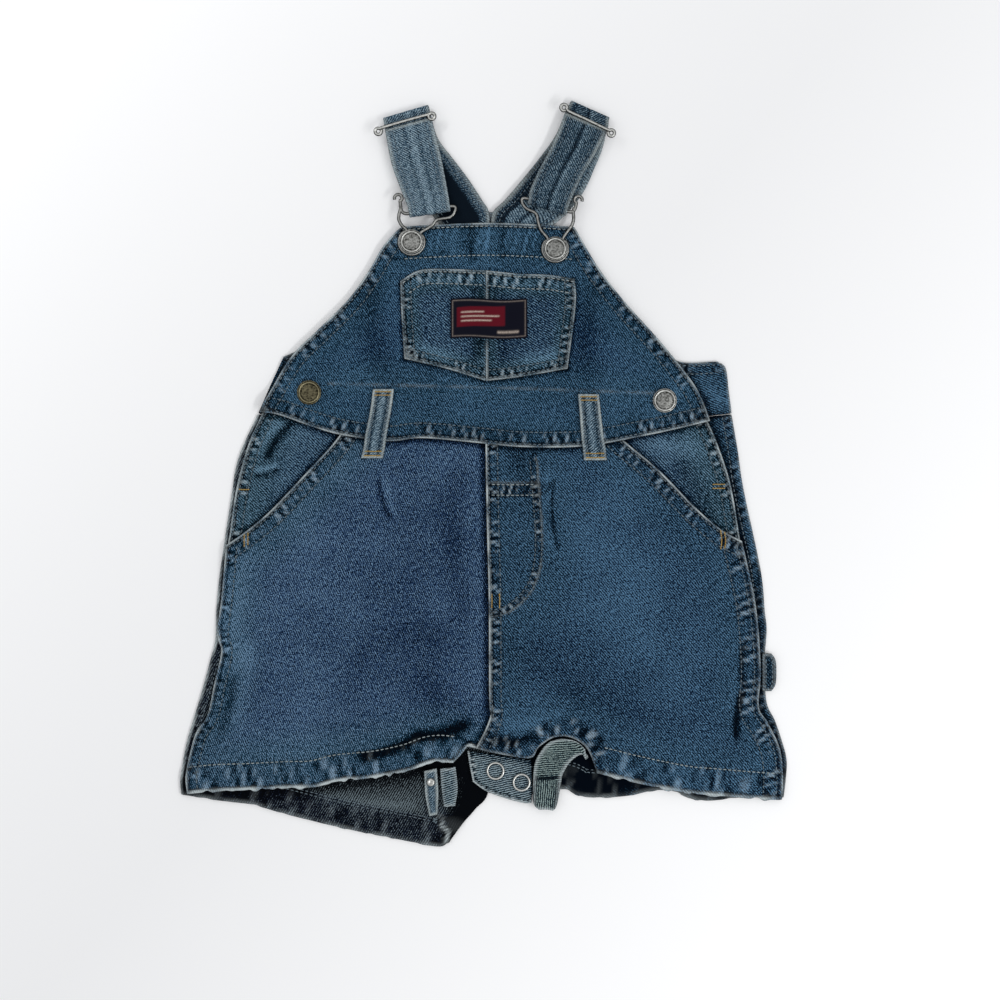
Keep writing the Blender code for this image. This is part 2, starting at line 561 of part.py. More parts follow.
def bib():
    """Front bib, the two halves of its pocket, and the blank label."""
    plan = stretched([WAIST], [BIB_TOP], [BIB_LEFT], [BIB_RIGHT], 24, 14)
    top_hem = from_bottom(plan[::-1], TOP_HEM_DEPTH)[::-1] * 0.45
    cloth("front_bib", with_height(plan, bib_height), denim, hem=top_hem)
    on_bib = lambda x, y: bib_top(x, y) + GAP
    for name, bottom, top, left, right in (
            ("bib_pocket_left", POCKET_LEFT_BOTTOM, POCKET_LEFT_TOP, POCKET_LEFT_SIDE,
             [POCKET_LEFT_BOTTOM[-1], POCKET_LEFT_TOP[-1]]),
            ("bib_pocket_right", POCKET_RIGHT_BOTTOM, POCKET_RIGHT_TOP,
             [POCKET_RIGHT_BOTTOM[0], POCKET_RIGHT_TOP[0]], POCKET_RIGHT_SIDE)):
        plan = stretched([bottom], [top], [left], [right], 6, 7)
        cloth(name, with_height(plan, on_bib), denim)
    xs = np.linspace(LABEL["left"], LABEL["right"], 8)
    ys = np.linspace(LABEL["bottom"], LABEL["top"], 5)
    plan = np.dstack(np.meshgrid(xs, ys))
    on_pocket = lambda x, y: bib_top(x, y) + WALL + 2 * GAP
    cloth("label_blank", with_height(plan, on_pocket), label_cloth, LABEL_WALL)


def belt_loops():
    """Each loop lies on the bib and steps down over its lower edge to the leg."""
    on_bib = BIB_LAP_HEIGHT + WALL + GAP + TAB_WALL / 2
    on_leg = LEG_HEIGHT + WALL + GAP + TAB_WALL / 2
    loops = {
        "belt_loop_left": [(-72.6, 9.6, -60.0, 9.6, on_leg), (-71.6, 13.4, -59.2, 13.4, on_leg + 0.2),
                           (-70.6, 18.0, -58.4, 18.0, on_bib), (-69.8, 24.0, -57.6, 24.0, on_bib),
                           (-67.0, 38.0, -55.0, 38.0, on_bib), (-65.4, 50.4, -53.4, 50.4, on_bib)],
        "belt_loop_right": [(60.6, 8.4, 73.8, 8.4, on_leg), (60.2, 11.2, 73.4, 11.2, on_leg + 0.2),
                            (59.8, 15.6, 73.0, 15.6, on_bib), (59.0, 22.0, 71.8, 22.0, on_bib),
                            (58.0, 36.0, 70.2, 36.0, on_bib), (57.0, 47.4, 69.0, 47.4, on_bib)]}
    for name, rows in loops.items():
        strip(name, [Row(*row) for row in rows], denim, TAB_WALL, 12, 2)


def straps():
    """Both straps, their sliders and their buckles."""
    strap("strap_left", STRAP_LEFT_FRONT, STRAP_LEFT_BACK)
    strap("strap_right", STRAP_RIGHT_FRONT, STRAP_RIGHT_BACK)
    bar = UPPER_RUN + STRAP_WALL / 2 + GAP + WIRE_RADIUS
    wire("slider_left", arc((-62.4, 204.4), 1.9, 330, 60, 9, bar)
         + [(-59.6, 206.8, bar), (-46.0, 210.8, bar), (-33.0, 214.4, bar)]
         + arc((-30.6, 213.4), 1.9, 120, -150, 9, bar))
    wire("slider_right", arc((48.4, 218.6), 1.9, 240, -30, 9, bar)
         + [(52.0, 216.0, bar), (62.0, 211.4, bar), (73.6, 205.8, bar)]
         + arc((76.6, 203.4), 1.9, 120, -150, 9, bar))


def buckles():
    """Bent wire: a curl, across inside the strap's turn, and round under the button."""
    h = BUCKLE_HEIGHT
    wire("buckle_left", arc((-50.6, 164.6), 2.3, 200, -60, 9, h)
         + [(-46.8, 155.6, h), (-31.8, 157.8, h), (-18.0, 159.9, h), (-16.6, 157.2, h),
            (-19.6, 153.4, h), (-27.4, 151.8, h), (-30.4, 148.4, h)]
         + arc(BUTTONS["button_bib_left"], BUCKLE_EYE, 45, -246, 14, h)
         + [(-48.6, 148.6, h), (-50.2, 151.8, h), (-50.2, 154.4, h)])
    wire("buckle_right", arc((57.0, 163.6), 2.3, -20, 240, 9, h)
         + [(52.6, 156.5, h), (38.9, 160.6, h), (25.2, 164.7, h), (23.4, 162.2, h),
            (26.0, 158.6, h), (31.6, 155.6, h), (32.8, 151.2, h), (34.6, 145.8, h)]
         + arc(BUTTONS["button_bib_right"], BUCKLE_EYE, 126, 413, 14, h)
         + [(52.0, 146.8, h), (53.6, 149.6, h), (54.0, 152.6, h)])


def buttons():
    """Tack buttons: a shank on the bib, a cap with a raised rim and an inner ring."""
    for name, (x, y) in BUTTONS.items():
        foot = float(bib_top(np.array([x]), np.array([y]))[0]) + GAP + 0.4
        cap = BUCKLE_HEIGHT + WIRE_RADIUS + GAP if "bib" in name else foot + 1.2
        cap = max(cap, foot + 1.2) - foot
        r = BUTTON_RADIUS
        profile = [(0.0, cap + 1.4), (0.40 * r, cap + 1.4), (0.50 * r, cap + 1.9),
                   (0.64 * r, cap + 1.6), (0.86 * r, cap + CAP_HEIGHT), (r, cap + 1.2),
                   (0.93 * r, cap), (SHANK_RADIUS, cap), (SHANK_RADIUS, 0.0), (0.0, 0.0)]
        turned_solid(name, profile, (x, y, foot), metal)


def snap_placket():
    """Right placket with its ring snaps, the binding's end, and the left tabs with a stud."""
    plan = stretched([PLACKET_BOTTOM], [PLACKET_TOP], [PLACKET_LEFT], [PLACKET_RIGHT], 8, 6)
    cloth("snap_placket", with_height(plan, HEM_HEIGHT), denim_strap, TAB_WALL)
    for name, (x, y) in RING_SNAPS.items():
        bpy.ops.mesh.primitive_torus_add(major_segments=18, minor_segments=6,
                                         major_radius=RING_SNAP_RADIUS * MM,
                                         minor_radius=RING_SNAP_WIRE * MM)
        ring = bpy.context.object
        ring.name = name
        ring.location = (x * MM, y * MM, (HEM_HEIGHT + TAB_WALL + GAP + RING_SNAP_WIRE) * MM)
        ring.data.materials.append(metal)
        ring.data.shade_smooth()
        for holder in list(ring.users_collection):
            holder.objects.unlink(ring)
        garment.objects.link(ring)
    strip("binding_end", BINDING_END, denim_strap, 2.2, 18, 4, 0.5)
    strip("placket_tab_inner", TAB_INNER, denim_strap, TAB_WALL, 8, 3)
    strip("placket_tab_outer", TAB_OUTER, denim_strap, TAB_WALL, 8, 3)
    profile = [(0.0, 1.2), (0.6 * STUD_RADIUS, 1.2), (STUD_RADIUS, 0.7), (STUD_RADIUS, 0.0), (0.0, 0.0)]
    turned_solid("snap_stud", profile, (*STUD, 3.8 + TAB_WALL / 2 + GAP), metal, 16)


def hammer_loop():
    """Short folded loop on the right side seam."""
    xs = np.linspace(HAMMER_LOOP["left"], HAMMER_LOOP["right"], 4)
    ys = np.linspace(HAMMER_LOOP["bottom"], HAMMER_LOOP["top"], 9)
    plan = np.dstack(np.meshgrid(xs, ys))
    middle = (HAMMER_LOOP["bottom"] + HAMMER_LOOP["top"]) / 2
    reach = (HAMMER_LOOP["top"] - HAMMER_LOOP["bottom"]) / 2
    rounding = 1.0 - 0.35 * np.abs((plan[..., 1] - middle) / reach) ** 4
    plan[..., 0] = HAMMER_LOOP["left"] + (plan[..., 0] - HAMMER_LOOP["left"]) * rounding
    cloth("hammer_loop", with_height(plan, WALL + GAP), denim, 1.6)


back_panels()
pocket_facings()
front_legs()
bib()
belt_loops()
straps()
buckles()
buttons()
snap_placket()
hammer_loop()
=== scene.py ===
"""Finished look of a pair of baby denim shortalls lying flat, seen from straight above.

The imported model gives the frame. Every cloth piece is made again here as a
finer sheet on the same measured edges and layers, with its turned hems, felled
seams, puckers and creases, and with its stitches as separate small threads.
Lengths in the tables and classes are millimetres; meshes are in metres.
"""

from __future__ import annotations

import logging
import math
from dataclasses import dataclass
from enum import Enum
from functools import cache
from typing import Callable, Sequence

import bpy
import numpy as np
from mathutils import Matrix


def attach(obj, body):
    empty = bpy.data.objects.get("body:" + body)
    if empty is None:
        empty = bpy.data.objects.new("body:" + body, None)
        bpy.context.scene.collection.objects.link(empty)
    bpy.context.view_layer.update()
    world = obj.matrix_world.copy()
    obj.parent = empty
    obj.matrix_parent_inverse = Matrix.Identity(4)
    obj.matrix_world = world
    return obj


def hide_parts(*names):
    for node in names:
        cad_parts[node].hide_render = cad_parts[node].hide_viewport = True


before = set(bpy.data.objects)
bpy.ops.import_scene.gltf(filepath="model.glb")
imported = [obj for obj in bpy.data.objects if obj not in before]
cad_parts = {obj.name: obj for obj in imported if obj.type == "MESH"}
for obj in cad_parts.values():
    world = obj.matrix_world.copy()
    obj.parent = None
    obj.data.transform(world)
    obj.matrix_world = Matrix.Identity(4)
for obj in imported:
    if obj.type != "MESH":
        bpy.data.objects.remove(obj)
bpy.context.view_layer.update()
log = logging.getLogger("shortalls")

MM = 0.001
Table = Sequence[tuple[float, ...]]
Height = Callable[[np.ndarray, np.ndarray], np.ndarray]      # a surface: x and y to z
Mesh = tuple[np.ndarray, list[np.ndarray]]                    # points, and arrays of faces

# ---- Layers, as the solids have them ----
WALL = 1.2
HEM_WALL = 2.0
STRAP_WALL = 1.5
TAB_WALL = 1.4
LABEL_WALL = 0.7
GAP = 0.35
LEG_HEIGHT = 3.15
BIB_HEIGHT = 3.5
BIB_LAP_HEIGHT = 4.75
BIB_SIDE_HEIGHT = 2.6
SEAM_LAP = 5.0
LAP_REACH = 16.0
BUCKLE_HEIGHT = 6.5
WIRE_RADIUS = 1.0
BACK_RUN = WALL + GAP + STRAP_WALL / 2
LOWER_RUN = BACK_RUN + STRAP_WALL + GAP
UPPER_RUN = LOWER_RUN + STRAP_WALL + GAP
BUCKLE_RUN = BUCKLE_HEIGHT + WIRE_RADIUS + GAP + STRAP_WALL / 2

# ---- Measured edges, x and y in mm ----
WAIST = [(-133.2, 37.2), (-121.8, 35.4), (-101.4, 28.2), (-84.0, 23.4), (-56.4, 19.8), (-36.0, 21.6),
    (-1.8, 18.6), (25.2, 16.2), (61.2, 16.8), (95.4, 22.8), (112.8, 26.4), (135.6, 31.8)]
BIB_LEFT = [(-133.2, 37.2), (-129.0, 46.2), (-114.6, 70.2), (-98.4, 86.4), (-80.4, 104.4),
    (-67.6, 122.4), (-60.8, 134.4), (-53.4, 143.6), (-48.6, 147.8)]
BIB_RIGHT = [(135.6, 31.8), (127.8, 51.0), (111.0, 73.2), (99.6, 86.4), (83.4, 104.4), (68.4, 124.2),
    (54.6, 147.6)]
BIB_TOP = [(-48.6, 147.8), (-31.8, 148.8), (2.4, 150.0), (37.2, 148.8), (54.6, 147.6)]
LEFT_SIDE_SEAM = [(-177.0, -191.4), (-177.6, -178.8), (-172.2, -156.0), (-165.0, -144.6),
    (-160.8, -125.4), (-156.6, -106.2), (-159.0, -96.0), (-156.0, -69.6), (-153.6, -42.6)]
LEFT_SLANT = [(-153.6, -42.6), (-142.2, -34.8), (-127.2, -22.2), (-105.6, 0.6), (-90.6, 16.8),
    (-82.2, 28.0)]
RIGHT_SIDE_SEAM = [(178.8, -195.0), (179.4, -180.6), (177.6, -164.4), (170.4, -148.8), (165.0, -139.2),
    (166.2, -117.0), (163.2, -78.6), (154.8, -40.2)]
RIGHT_SLANT = [(154.8, -40.2), (142.8, -33.6), (126.6, -19.8), (105.6, 1.8), (86.4, 18.0),
    (79.8, 24.0)]
CENTRE_SEAM = [(-4.5, -164.0), (1.5, -152.4), (4.6, -142.8), (3.6, -135.6), (3.3, -75.6), (2.1, -27.6),
    (1.2, 24.0)]
LEFT_HEM = [(-177.0, -191.4), (-157.8, -189.6), (-141.6, -189.0), (-118.2, -187.8), (-100.8, -187.2),
    (-85.8, -183.6), (-63.0, -181.2), (-43.2, -177.0), (-29.4, -172.2), (-18.0, -172.8)]
LEFT_INSEAM = [(-18.0, -172.8), (-12.6, -167.0), (-8.4, -162.0), (-4.5, -164.0)]
RIGHT_INSEAM = [(-4.5, -164.0), (10.2, -167.4), (28.2, -169.8), (33.6, -163.2), (43.2, -157.2),
    (53.4, -157.8), (62.4, -164.4), (68.4, -178.8)]
RIGHT_HEM = [(68.4, -178.8), (90.0, -184.2), (119.4, -190.2), (138.0, -192.0), (165.6, -194.4),
    (178.8, -195.0)]
BACK_LEFT_SIDE = [(-180.6, -192.0), (-181.2, -183.6), (-179.4, -171.6), (-177.0, -159.6),
    (-173.4, -147.6), (-168.0, -129.6), (-163.2, -111.6), (-160.2, -99.6), (-159.6, -81.6),
    (-157.2, -57.6), (-150.0, -9.6), (-148.2, 2.4), (-144.6, 14.4), (-135.0, 35.4)]
BACK_LEFT_HEM = [(-180.6, -192.0), (-157.8, -195.6), (-138.0, -198.0), (-127.8, -201.0),
    (-109.8, -205.8), (-82.8, -212.4), (-49.8, -219.0), (-27.6, -223.2), (-20.4, -220.8)]
BACK_LEFT_INSEAM = [(-20.4, -220.8), (-12.6, -210.0), (-4.8, -201.0), (3.0, -190.2), (3.6, -159.6),
    (2.4, -75.6), (2.4, 24.6)]
BACK_RIGHT_INSEAM = [(4.8, -187.8), (4.8, -159.6), (3.0, -75.6), (3.0, 24.6)]
BACK_RIGHT_HEM = [(4.8, -187.8), (28.2, -192.0), (47.4, -188.4), (57.0, -192.6), (70.2, -193.8),
    (87.6, -192.6), (101.4, -189.8), (114.0, -189.8), (124.2, -194.4), (136.2, -195.6),
    (154.2, -193.8), (180.0, -193.8)]
BACK_RIGHT_SIDE = [(180.0, -193.8), (181.2, -183.6), (181.8, -171.6), (178.8, -159.6), (174.6, -147.6),
    (170.4, -139.2), (169.0, -129.6), (168.6, -111.6), (169.8, -93.6), (168.6, -81.6), (166.2, -57.6),
    (156.0, -9.6), (152.4, 14.4), (148.8, 35.4)]
BACK_WAIST = [(-135.0, 35.4), (-67.0, 28.0), (2.4, 24.6), (70.0, 28.0), (148.8, 35.4)]
YOKE_LEFT = [(-134.4, 36.6), (-128.4, 50.4), (-123.0, 62.4), (-119.4, 70.2)]
YOKE_RIGHT = [(148.8, 36.6), (147.0, 50.4), (145.2, 63.6), (140.4, 67.2)]
YOKE_TOP = [(-119.4, 70.2), (-109.8, 74.4), (-85.8, 85.2), (-58.8, 104.4), (-34.8, 127.2),
    (-22.8, 149.4), (-18.0, 164.4), (4.2, 156.6), (28.8, 165.6), (31.8, 149.4), (46.2, 127.2),
    (70.2, 104.4), (94.2, 83.4), (116.4, 67.8), (140.4, 67.2)]
FACING_LEFT_OUTER = [(-153.4, -45.8), (-151.6, -36.0), (-147.6, -9.0), (-140.4, 17.4), (-132.6, 35.0),
    (-129.6, 40.8)]
FACING_LEFT_INNER = [(-148.2, -49.8), (-136.2, -43.8), (-120.0, -30.6), (-98.4, -7.8), (-82.8, 10.2),
    (-71.4, 26.4)]
FACING_RIGHT_INNER = [(149.4, -49.8), (136.8, -42.0), (120.6, -28.2), (99.6, -6.6), (79.2, 12.6),
    (70.2, 25.2)]
FACING_RIGHT_OUTER = [(155.4, -46.8), (153.6, -38.4), (148.2, -6.6), (140.4, 17.4), (135.0, 30.0),
    (131.4, 36.6)]
POCKET_LEFT_SIDE = [(-46.8, 69.0), (-48.6, 96.6), (-49.2, 115.2)]
POCKET_LEFT_TOP = [(-49.2, 115.2), (-39.0, 121.2), (-25.8, 122.4), (1.6, 121.4)]
POCKET_LEFT_BOTTOM = [(-46.8, 69.0), (-21.6, 63.0), (1.6, 55.8)]
POCKET_RIGHT_SIDE = [(50.4, 63.0), (55.2, 100.8), (54.6, 116.4)]
POCKET_RIGHT_TOP = [(2.0, 121.4), (22.2, 119.4), (39.0, 118.8), (54.6, 116.4)]
POCKET_RIGHT_BOTTOM = [(2.0, 55.8), (22.2, 58.2), (50.4, 63.0)]
PLACKET_LEFT = [(-5.9, -184.2), (-7.8, -174.6), (-9.2, -165.8)]
PLACKET_BOTTOM = [(-5.9, -184.2), (1.8, -189.6), (13.2, -193.8), (24.4, -196.8), (28.8, -196.6)]
PLACKET_RIGHT = [(28.8, -196.6), (29.0, -183.6), (28.6, -171.6)]
PLACKET_TOP = [(-9.2, -165.8), (10.0, -168.9), (28.6, -171.6)]
FLY_CURVE = [(32.4, 8.4), (35.6, -37.8), (33.6, -59.4), (27.0, -73.2), (14.4, -83.6), (4.0, -85.8)]
# The straps: left x, left y, right x, right y a row; the front run goes from slider to buckle,
# and the back run from slider to yoke.
STRAP_LEFT_ROWS = [(-58.2, 205.6, -31.4, 212.8), (-54.6, 186.6, -25.8, 191.4),
    (-49.8, 172.8, -22.8, 176.4), (-45.2, 161.2, -20.6, 164.4), (-43.9, 156.0, -20.0, 159.6)]
STRAP_LEFT_BACK = [(-59.2, 211.6, -32.6, 219.4), (-54.6, 194.4, -27.6, 201.6),
    (-48.6, 181.2, -18.0, 188.4), (-40.2, 167.4, -9.0, 176.4), (-30.6, 156.0, -1.2, 164.4),
    (-22.8, 145.2, 3.4, 156.0), (-18.6, 136.8, 3.4, 141.6)]
STRAP_RIGHT_ROWS = [(49.4, 215.8, 73.8, 205.4), (42.6, 198.6, 66.6, 190.8), (34.2, 182.4, 59.4, 178.8),
    (28.4, 169.4, 52.4, 163.6), (27.6, 164.0, 50.2, 157.2)]
STRAP_RIGHT_BACK = [(52.4, 222.0, 75.0, 212.0), (43.8, 202.8, 71.4, 195.6), (33.6, 188.4, 66.6, 183.6),
    (24.0, 176.4, 60.0, 169.2), (13.8, 164.4, 49.8, 156.0), (6.0, 156.0, 37.2, 145.2),
    (5.0, 141.6, 31.2, 136.8)]
BUTTONS = {"button_bib_left": (-42.6, 138.6), "button_bib_right": (43.2, 134.4),
    "button_side_left": (-103.8, 48.6), "button_side_right": (108.6, 43.8)}

# ---- Wear and grooves ----
GROOVE = 0.7                # half width of the groove that a row of stitches pulls
OPEN_RIM, FOLDED_RIM = 1.1, 0.5     # how far wear reaches over a hem's edge and over a seam's


# ---- Curves, grids and distances ----
def travelled(curve: np.ndarray) -> np.ndarray:
    """Return the length travelled along a curve at each of its points."""
    return np.concatenate([[0.0], np.cumsum(np.linalg.norm(np.diff(curve, axis=0), axis=1))])


def smooth(points: Table, count: int) -> np.ndarray:
    """Spread points evenly along a smooth curve.

    The curve is a Catmull-Rom spline: between two given points each coordinate is
    a cubic whose slope at a point is half the step between its neighbours. It is
    sampled finely and then read off at equal lengths.

    Args:
        points: The given points, in any number of columns; x and y come first.
        count: How many points to return.

    Returns:
        An array of count rows.
    """
    given = np.array(points, dtype=float)
    t = np.linspace(0.0, 1.0, 16, endpoint=False)[None, :, None]
    padded = np.vstack([2 * given[0] - given[1], given, 2 * given[-1] - given[-2]])
    a, b, c, d = (padded[i:len(padded) - 3 + i][:, None] for i in range(4))
    spline = 0.5 * (2 * b + (c - a) * t + (2 * a - 5 * b + 4 * c - d) * t**2
                    + (3 * b - a - 3 * c + d) * t**3)
    curve = np.vstack([spline.reshape(-1, given.shape[1]), given[-1:]])
    length = travelled(curve[:, :2])
    wanted = np.linspace(0.0, length[-1], count)
    return np.column_stack([np.interp(wanted, length, column) for column in curve.T])


def run_length(runs: Sequence[Table]) -> list[float]:
    """Return each run's length, measured straight from point to point."""
    return [travelled(np.array(run, dtype=float))[-1] for run in runs]


def joined(runs: Sequence[Table], count: int) -> np.ndarray:
    """Join edges that meet at sharp corners, each with its share of the points.

    Args:
        runs: The edges, in order, each starting where the last one ends.
        count: How many points the whole gets.

    Returns:
        An array of count points.
    """
    lengths = run_length(runs)
    shares = [max(1, round((count - 1) * length / sum(lengths))) for length in lengths]
    shares[0] += count - 1 - sum(shares)
    pieces = [smooth(run, share + 1)[:-1] for run, share in zip(runs, shares)]
    return np.vstack(pieces + [np.array([runs[-1][-1]], dtype=float)])


def stretched(bottom: Sequence[Table], top: Sequence[Table], left: Sequence[Table],
              right: Sequence[Table], cell: float) -> np.ndarray:
    """Stretch a grid between four edges (a Coons patch).

    A point is the mean across plus the mean upwards of the edges' points, less the
    mean of the four corners, each weighted by how near it is.

    Args:
        bottom: Runs of the lower edge, left to right.
        top: Runs of the upper edge, left to right.
        left: Runs of the left edge, upwards.
        right: Runs of the right edge, upwards.
        cell: Size of a grid square in mm.

    Returns:
        An array of rows by columns by x and y.
    """
    columns, rows = (max(3, math.ceil(max(sum(run_length(first)), sum(run_length(second))) / cell))
                     for first, second in ((bottom, top), (left, right)))
    low, high = joined(bottom, columns + 1), joined(top, columns + 1)
    west, east = joined(left, rows + 1), joined(right, rows + 1)
    u = np.linspace(0.0, 1.0, columns + 1)[None, :, None]
    v = np.linspace(0.0, 1.0, rows + 1)[:, None, None]
    corners = ((1 - u) * (1 - v) * low[0] + u * (1 - v) * low[-1]
               + (1 - u) * v * high[0] + u * v * high[-1])
    return (1 - u) * west[:, None] + u * east[:, None] + (1 - v) * low[None] + v * high[None] - corners


def step(low: float, high: float, value: np.ndarray) -> np.ndarray:
    """Return 0 below low, 1 above high and a smooth step between."""
    share = np.clip((value - low) / (high - low), 0.0, 1.0)
    return share * share * (3.0 - 2.0 * share)


def bell(value: np.ndarray, middle: float, reach: float) -> np.ndarray:
    """Return 1 at the middle, falling away on both sides as exp(-((value - middle) / reach)^2)."""
    return np.exp(-((value - middle) / reach) ** 2)


def edge_x(edge: Table, y: np.ndarray) -> np.ndarray:
    """Read an edge's x at the heights y."""
    points = np.array(sorted(edge, key=lambda point: point[1]))
    return np.interp(y, points[:, 1], points[:, 0])


def edge_y(edge: Table, x: np.ndarray) -> np.ndarray:
    """Read an edge's y at the places x."""
    points = np.array(edge)
    return np.interp(x, points[:, 0], points[:, 1])


def beside(path: Table, x: np.ndarray, y: np.ndarray) -> tuple[np.ndarray, np.ndarray]:
    """Measure where points lie along a path and how far to its left.

    Each point is dropped square onto every straight step of the path, and the
    nearest foot gives the length along and the distance, positive on the left.

    Args:
        path: The path's points.
        x: The points' x, in mm.
        y: The points' y, in mm.

    Returns:
        The length along the path and the signed distance, shaped like x.
    """
    curve = smooth(path, max(12, 3 * len(path)))[:, :2]
    start, run = curve[:-1], np.diff(curve, axis=0)
    square = (run**2).sum(axis=1)
    dx, dy = x.ravel()[:, None] - start[None, :, 0], y.ravel()[:, None] - start[None, :, 1]
    share = np.clip((dx * run[:, 0] + dy * run[:, 1]) / square, 0.0, 1.0)
    far = (dx - share * run[:, 0]) ** 2 + (dy - share * run[:, 1]) ** 2
    best = far.argmin(axis=1)
    rows = np.arange(len(best))
    side = np.sign(run[best, 0] * dy[rows, best] - run[best, 1] * dx[rows, best])
    along = travelled(curve)[best] + share[rows, best] * np.sqrt(square[best])
    return along.reshape(x.shape), (side * np.sqrt(far[rows, best])).reshape(x.shape)


def within(points: np.ndarray, outline: np.ndarray) -> np.ndarray:
    """Tell which points lie inside an outline, by counting the sides that a ray from each crosses."""
    ax, ay = outline[:, 0][None], outline[:, 1][None]
    bx, by = np.roll(ax, -1, axis=1), np.roll(ay, -1, axis=1)
    x, y = points[:, :1], points[:, 1:2]
    spans = (ay > y) != (by > y)
    rise = np.where(by == ay, 1.0, by - ay)
    return (spans & (x < (bx - ax) * (y - ay) / rise + ax)).sum(axis=1) % 2 == 1


def wander(along: np.ndarray, seed: float) -> np.ndarray:
    """Return a slow uneven swing along a seam, the sum of three unlike sine waves."""
    return (np.sin(along / 9.7 + seed) + 0.7 * np.sin(along / 5.3 + 2.1 * seed)
            + 0.5 * np.sin(along / 23.0 + 0.7 * seed))


# ---- Creases, seams and hems ----
@dataclass(frozen=True)
class Crease:
    """One soft ridge of cloth along a line, or a trough where its rise is negative.

    Attributes:
        from_x, from_y, to_x, to_y: The line's two ends.
        reach: How far the cloth rises beside it.
        rise: Height in mm.
        tone: Painted lightness along it: painted light where positive and painted shade where negative, on a
            ridge, in a trough, or as a broad patch where it has no rise.
    """

    from_x: float
    from_y: float
    to_x: float
    to_y: float
    reach: float
    rise: float
    tone: float = 0.0

    def shape(self, x: np.ndarray, y: np.ndarray) -> np.ndarray:
        """Return 1 on the line, which bows a little, falling away beside it and past its ends."""
        dx, dy = self.to_x - self.from_x, self.to_y - self.from_y
        length = math.hypot(dx, dy)
        share = ((x - self.from_x) * dx + (y - self.from_y) * dy) / length**2
        beyond = np.maximum(np.abs(share - 0.5) - 0.36, 0.0) * length
        away = ((x - self.from_x) * dy - (y - self.from_y) * dx) / length
        bow = 0.06 * length * np.sin(math.pi * np.clip(share, 0.0, 1.0))
        return bell(away, bow, self.reach) * bell(beyond, 0.0, 1.6 * self.reach)


class Thread(Enum):
    """The sewing threads in use, by colour."""

    TONAL = "thread_tonal"
    PALE = "thread_pale"
    GOLD = "thread_gold"


@dataclass(frozen=True)
class Band:
    """A turned edge, hem or felled seam: thicker cloth beside a path, roped by its stitches.

    Attributes:
        path: The edge or seam line.
        side: 1 where the band lies left of the path's direction, -1 right of it.
        width: How wide the band is.
        rise: How much it stands above the cloth.
        rope: Height of its puckers.
        period: Puckers, crest to crest.
        edge_wear: How worn the folded edge itself is.
        wear_and_highlight: How worn the pucker crests are.
        stitches: Distances from the path of its rows of stitches.
        thread: The thread of those rows.
        open_edge: True for a hem, whose puckers are largest at its edge.
        band_tone: Lightness of the whole band.
    """

    path: Table
    side: float = 1.0
    width: float = 9.0
    rise: float = 0.3
    rope: float = 0.32
    period: float = 5.8
    edge_wear: float = 0.85
    wear_and_highlight: float = 0.3
    stitches: tuple[float, ...] = (1.8, 8.8)
    thread: Thread = Thread.TONAL
    open_edge: bool = False
    band_tone: float = -0.12

    def layers(self, x: np.ndarray, y: np.ndarray) -> tuple[np.ndarray, ...]:
        """Work out the band's relief, wear and tone.

        Puckers are a sine of the length along the path whose phase and height
        wander; grooves are narrow bells along each row of stitches.

        Args:
            x: Points' x, in mm.
            y: Points' y, in mm.

        Returns:
            Relief in mm, wear from 0 up, tone with its painted shade, and the distance from the path.
        """
        along, away = beside(self.path, x, y)
        deep = away * self.side
        seed = float(self.path[0][0]) * 0.37 + float(self.path[0][1]) * 0.11
        inside = step(-0.6, 0.5, deep) * (1.0 - step(self.width - 0.9, self.width + 0.7, deep))
        ripple = self.ripple(along, deep, seed)
        if self.open_edge:
            shape = inside * (1.0 - 0.5 * np.clip(deep / self.width, 0.0, 1.0))
        else:
            shape = inside * np.sin(math.pi * np.clip(deep / self.width, 0.03, 0.97)) ** 0.8
        crest = np.clip(1.5 * ripple - 0.25, 0.0, 1.0) * shape
        trough = np.clip(-ripple - 0.05, 0.0, 1.0) * shape * (self.rope > 0.0)
        groove = sum(bell(deep, offset, GROOVE) for offset in self.stitches)
        relief = self.rise * inside + self.rope * ripple * shape - 0.28 * groove
        # Tone: the band's own lightness and paler pucker crests, with painted shade in the pucker troughs and the
        # stitch grooves.
        tone = self.band_tone * inside + 0.9 * crest - 1.35 * trough - 0.6 * groove
        # A painted shadow line just inside a worn folded edge.
        tone = tone - 0.9 * bell(deep, 1.9, GROOVE) * (self.edge_wear > 0.5)
        uneven = np.clip(0.74 + 0.36 * wander(2.2 * along, seed + 5.0), 0.2, 1.15)
        past = np.maximum(np.abs(deep) - 0.3, 0.0)
        rim = bell(past, 0.0, OPEN_RIM if self.open_edge else FOLDED_RIM) * uneven
        return relief, np.clip(self.edge_wear * rim + self.wear_and_highlight * crest, 0.0, 1.5), tone, away

    def ripple(self, along: np.ndarray, deep: np.ndarray, seed: float) -> np.ndarray:
        """Return the puckers, from -1 to 1: two unlike waves whose strength comes and goes.

        Args:
            along: Length along the path.
            deep: Distance into the band.
            seed: Shifts the puckers of one band against another's.

        Returns:
            The puckers' share of their height.
        """
        swing = wander(along, seed)
        first = np.sin(2 * math.pi * (along + 0.25 * deep) / self.period + 1.3 * swing)
        second = np.sin(2 * math.pi * (along - 0.4 * deep) / (0.57 * self.period) + 1.9 * swing + seed)
        strength = np.clip(0.6 + 0.5 * wander(2.3 * along + 1.4 * deep, seed + 3.0), 0.0, 1.4)
        return np.clip((0.7 * first + 0.45 * second) * strength, -1.0, 1.0)

    def rows(self) -> list[np.ndarray]:
        """Return each row of stitches as a curve in plan, the path moved sideways."""
        curve = smooth(self.path, max(40, 8 * len(self.path)))[:, :2]
        tangent = np.gradient(curve, axis=0)
        tangent /= np.linalg.norm(tangent, axis=1, keepdims=True)
        normal = np.column_stack([-tangent[:, 1], tangent[:, 0]]) * self.side
        return [curve + normal * offset for offset in self.stitches]


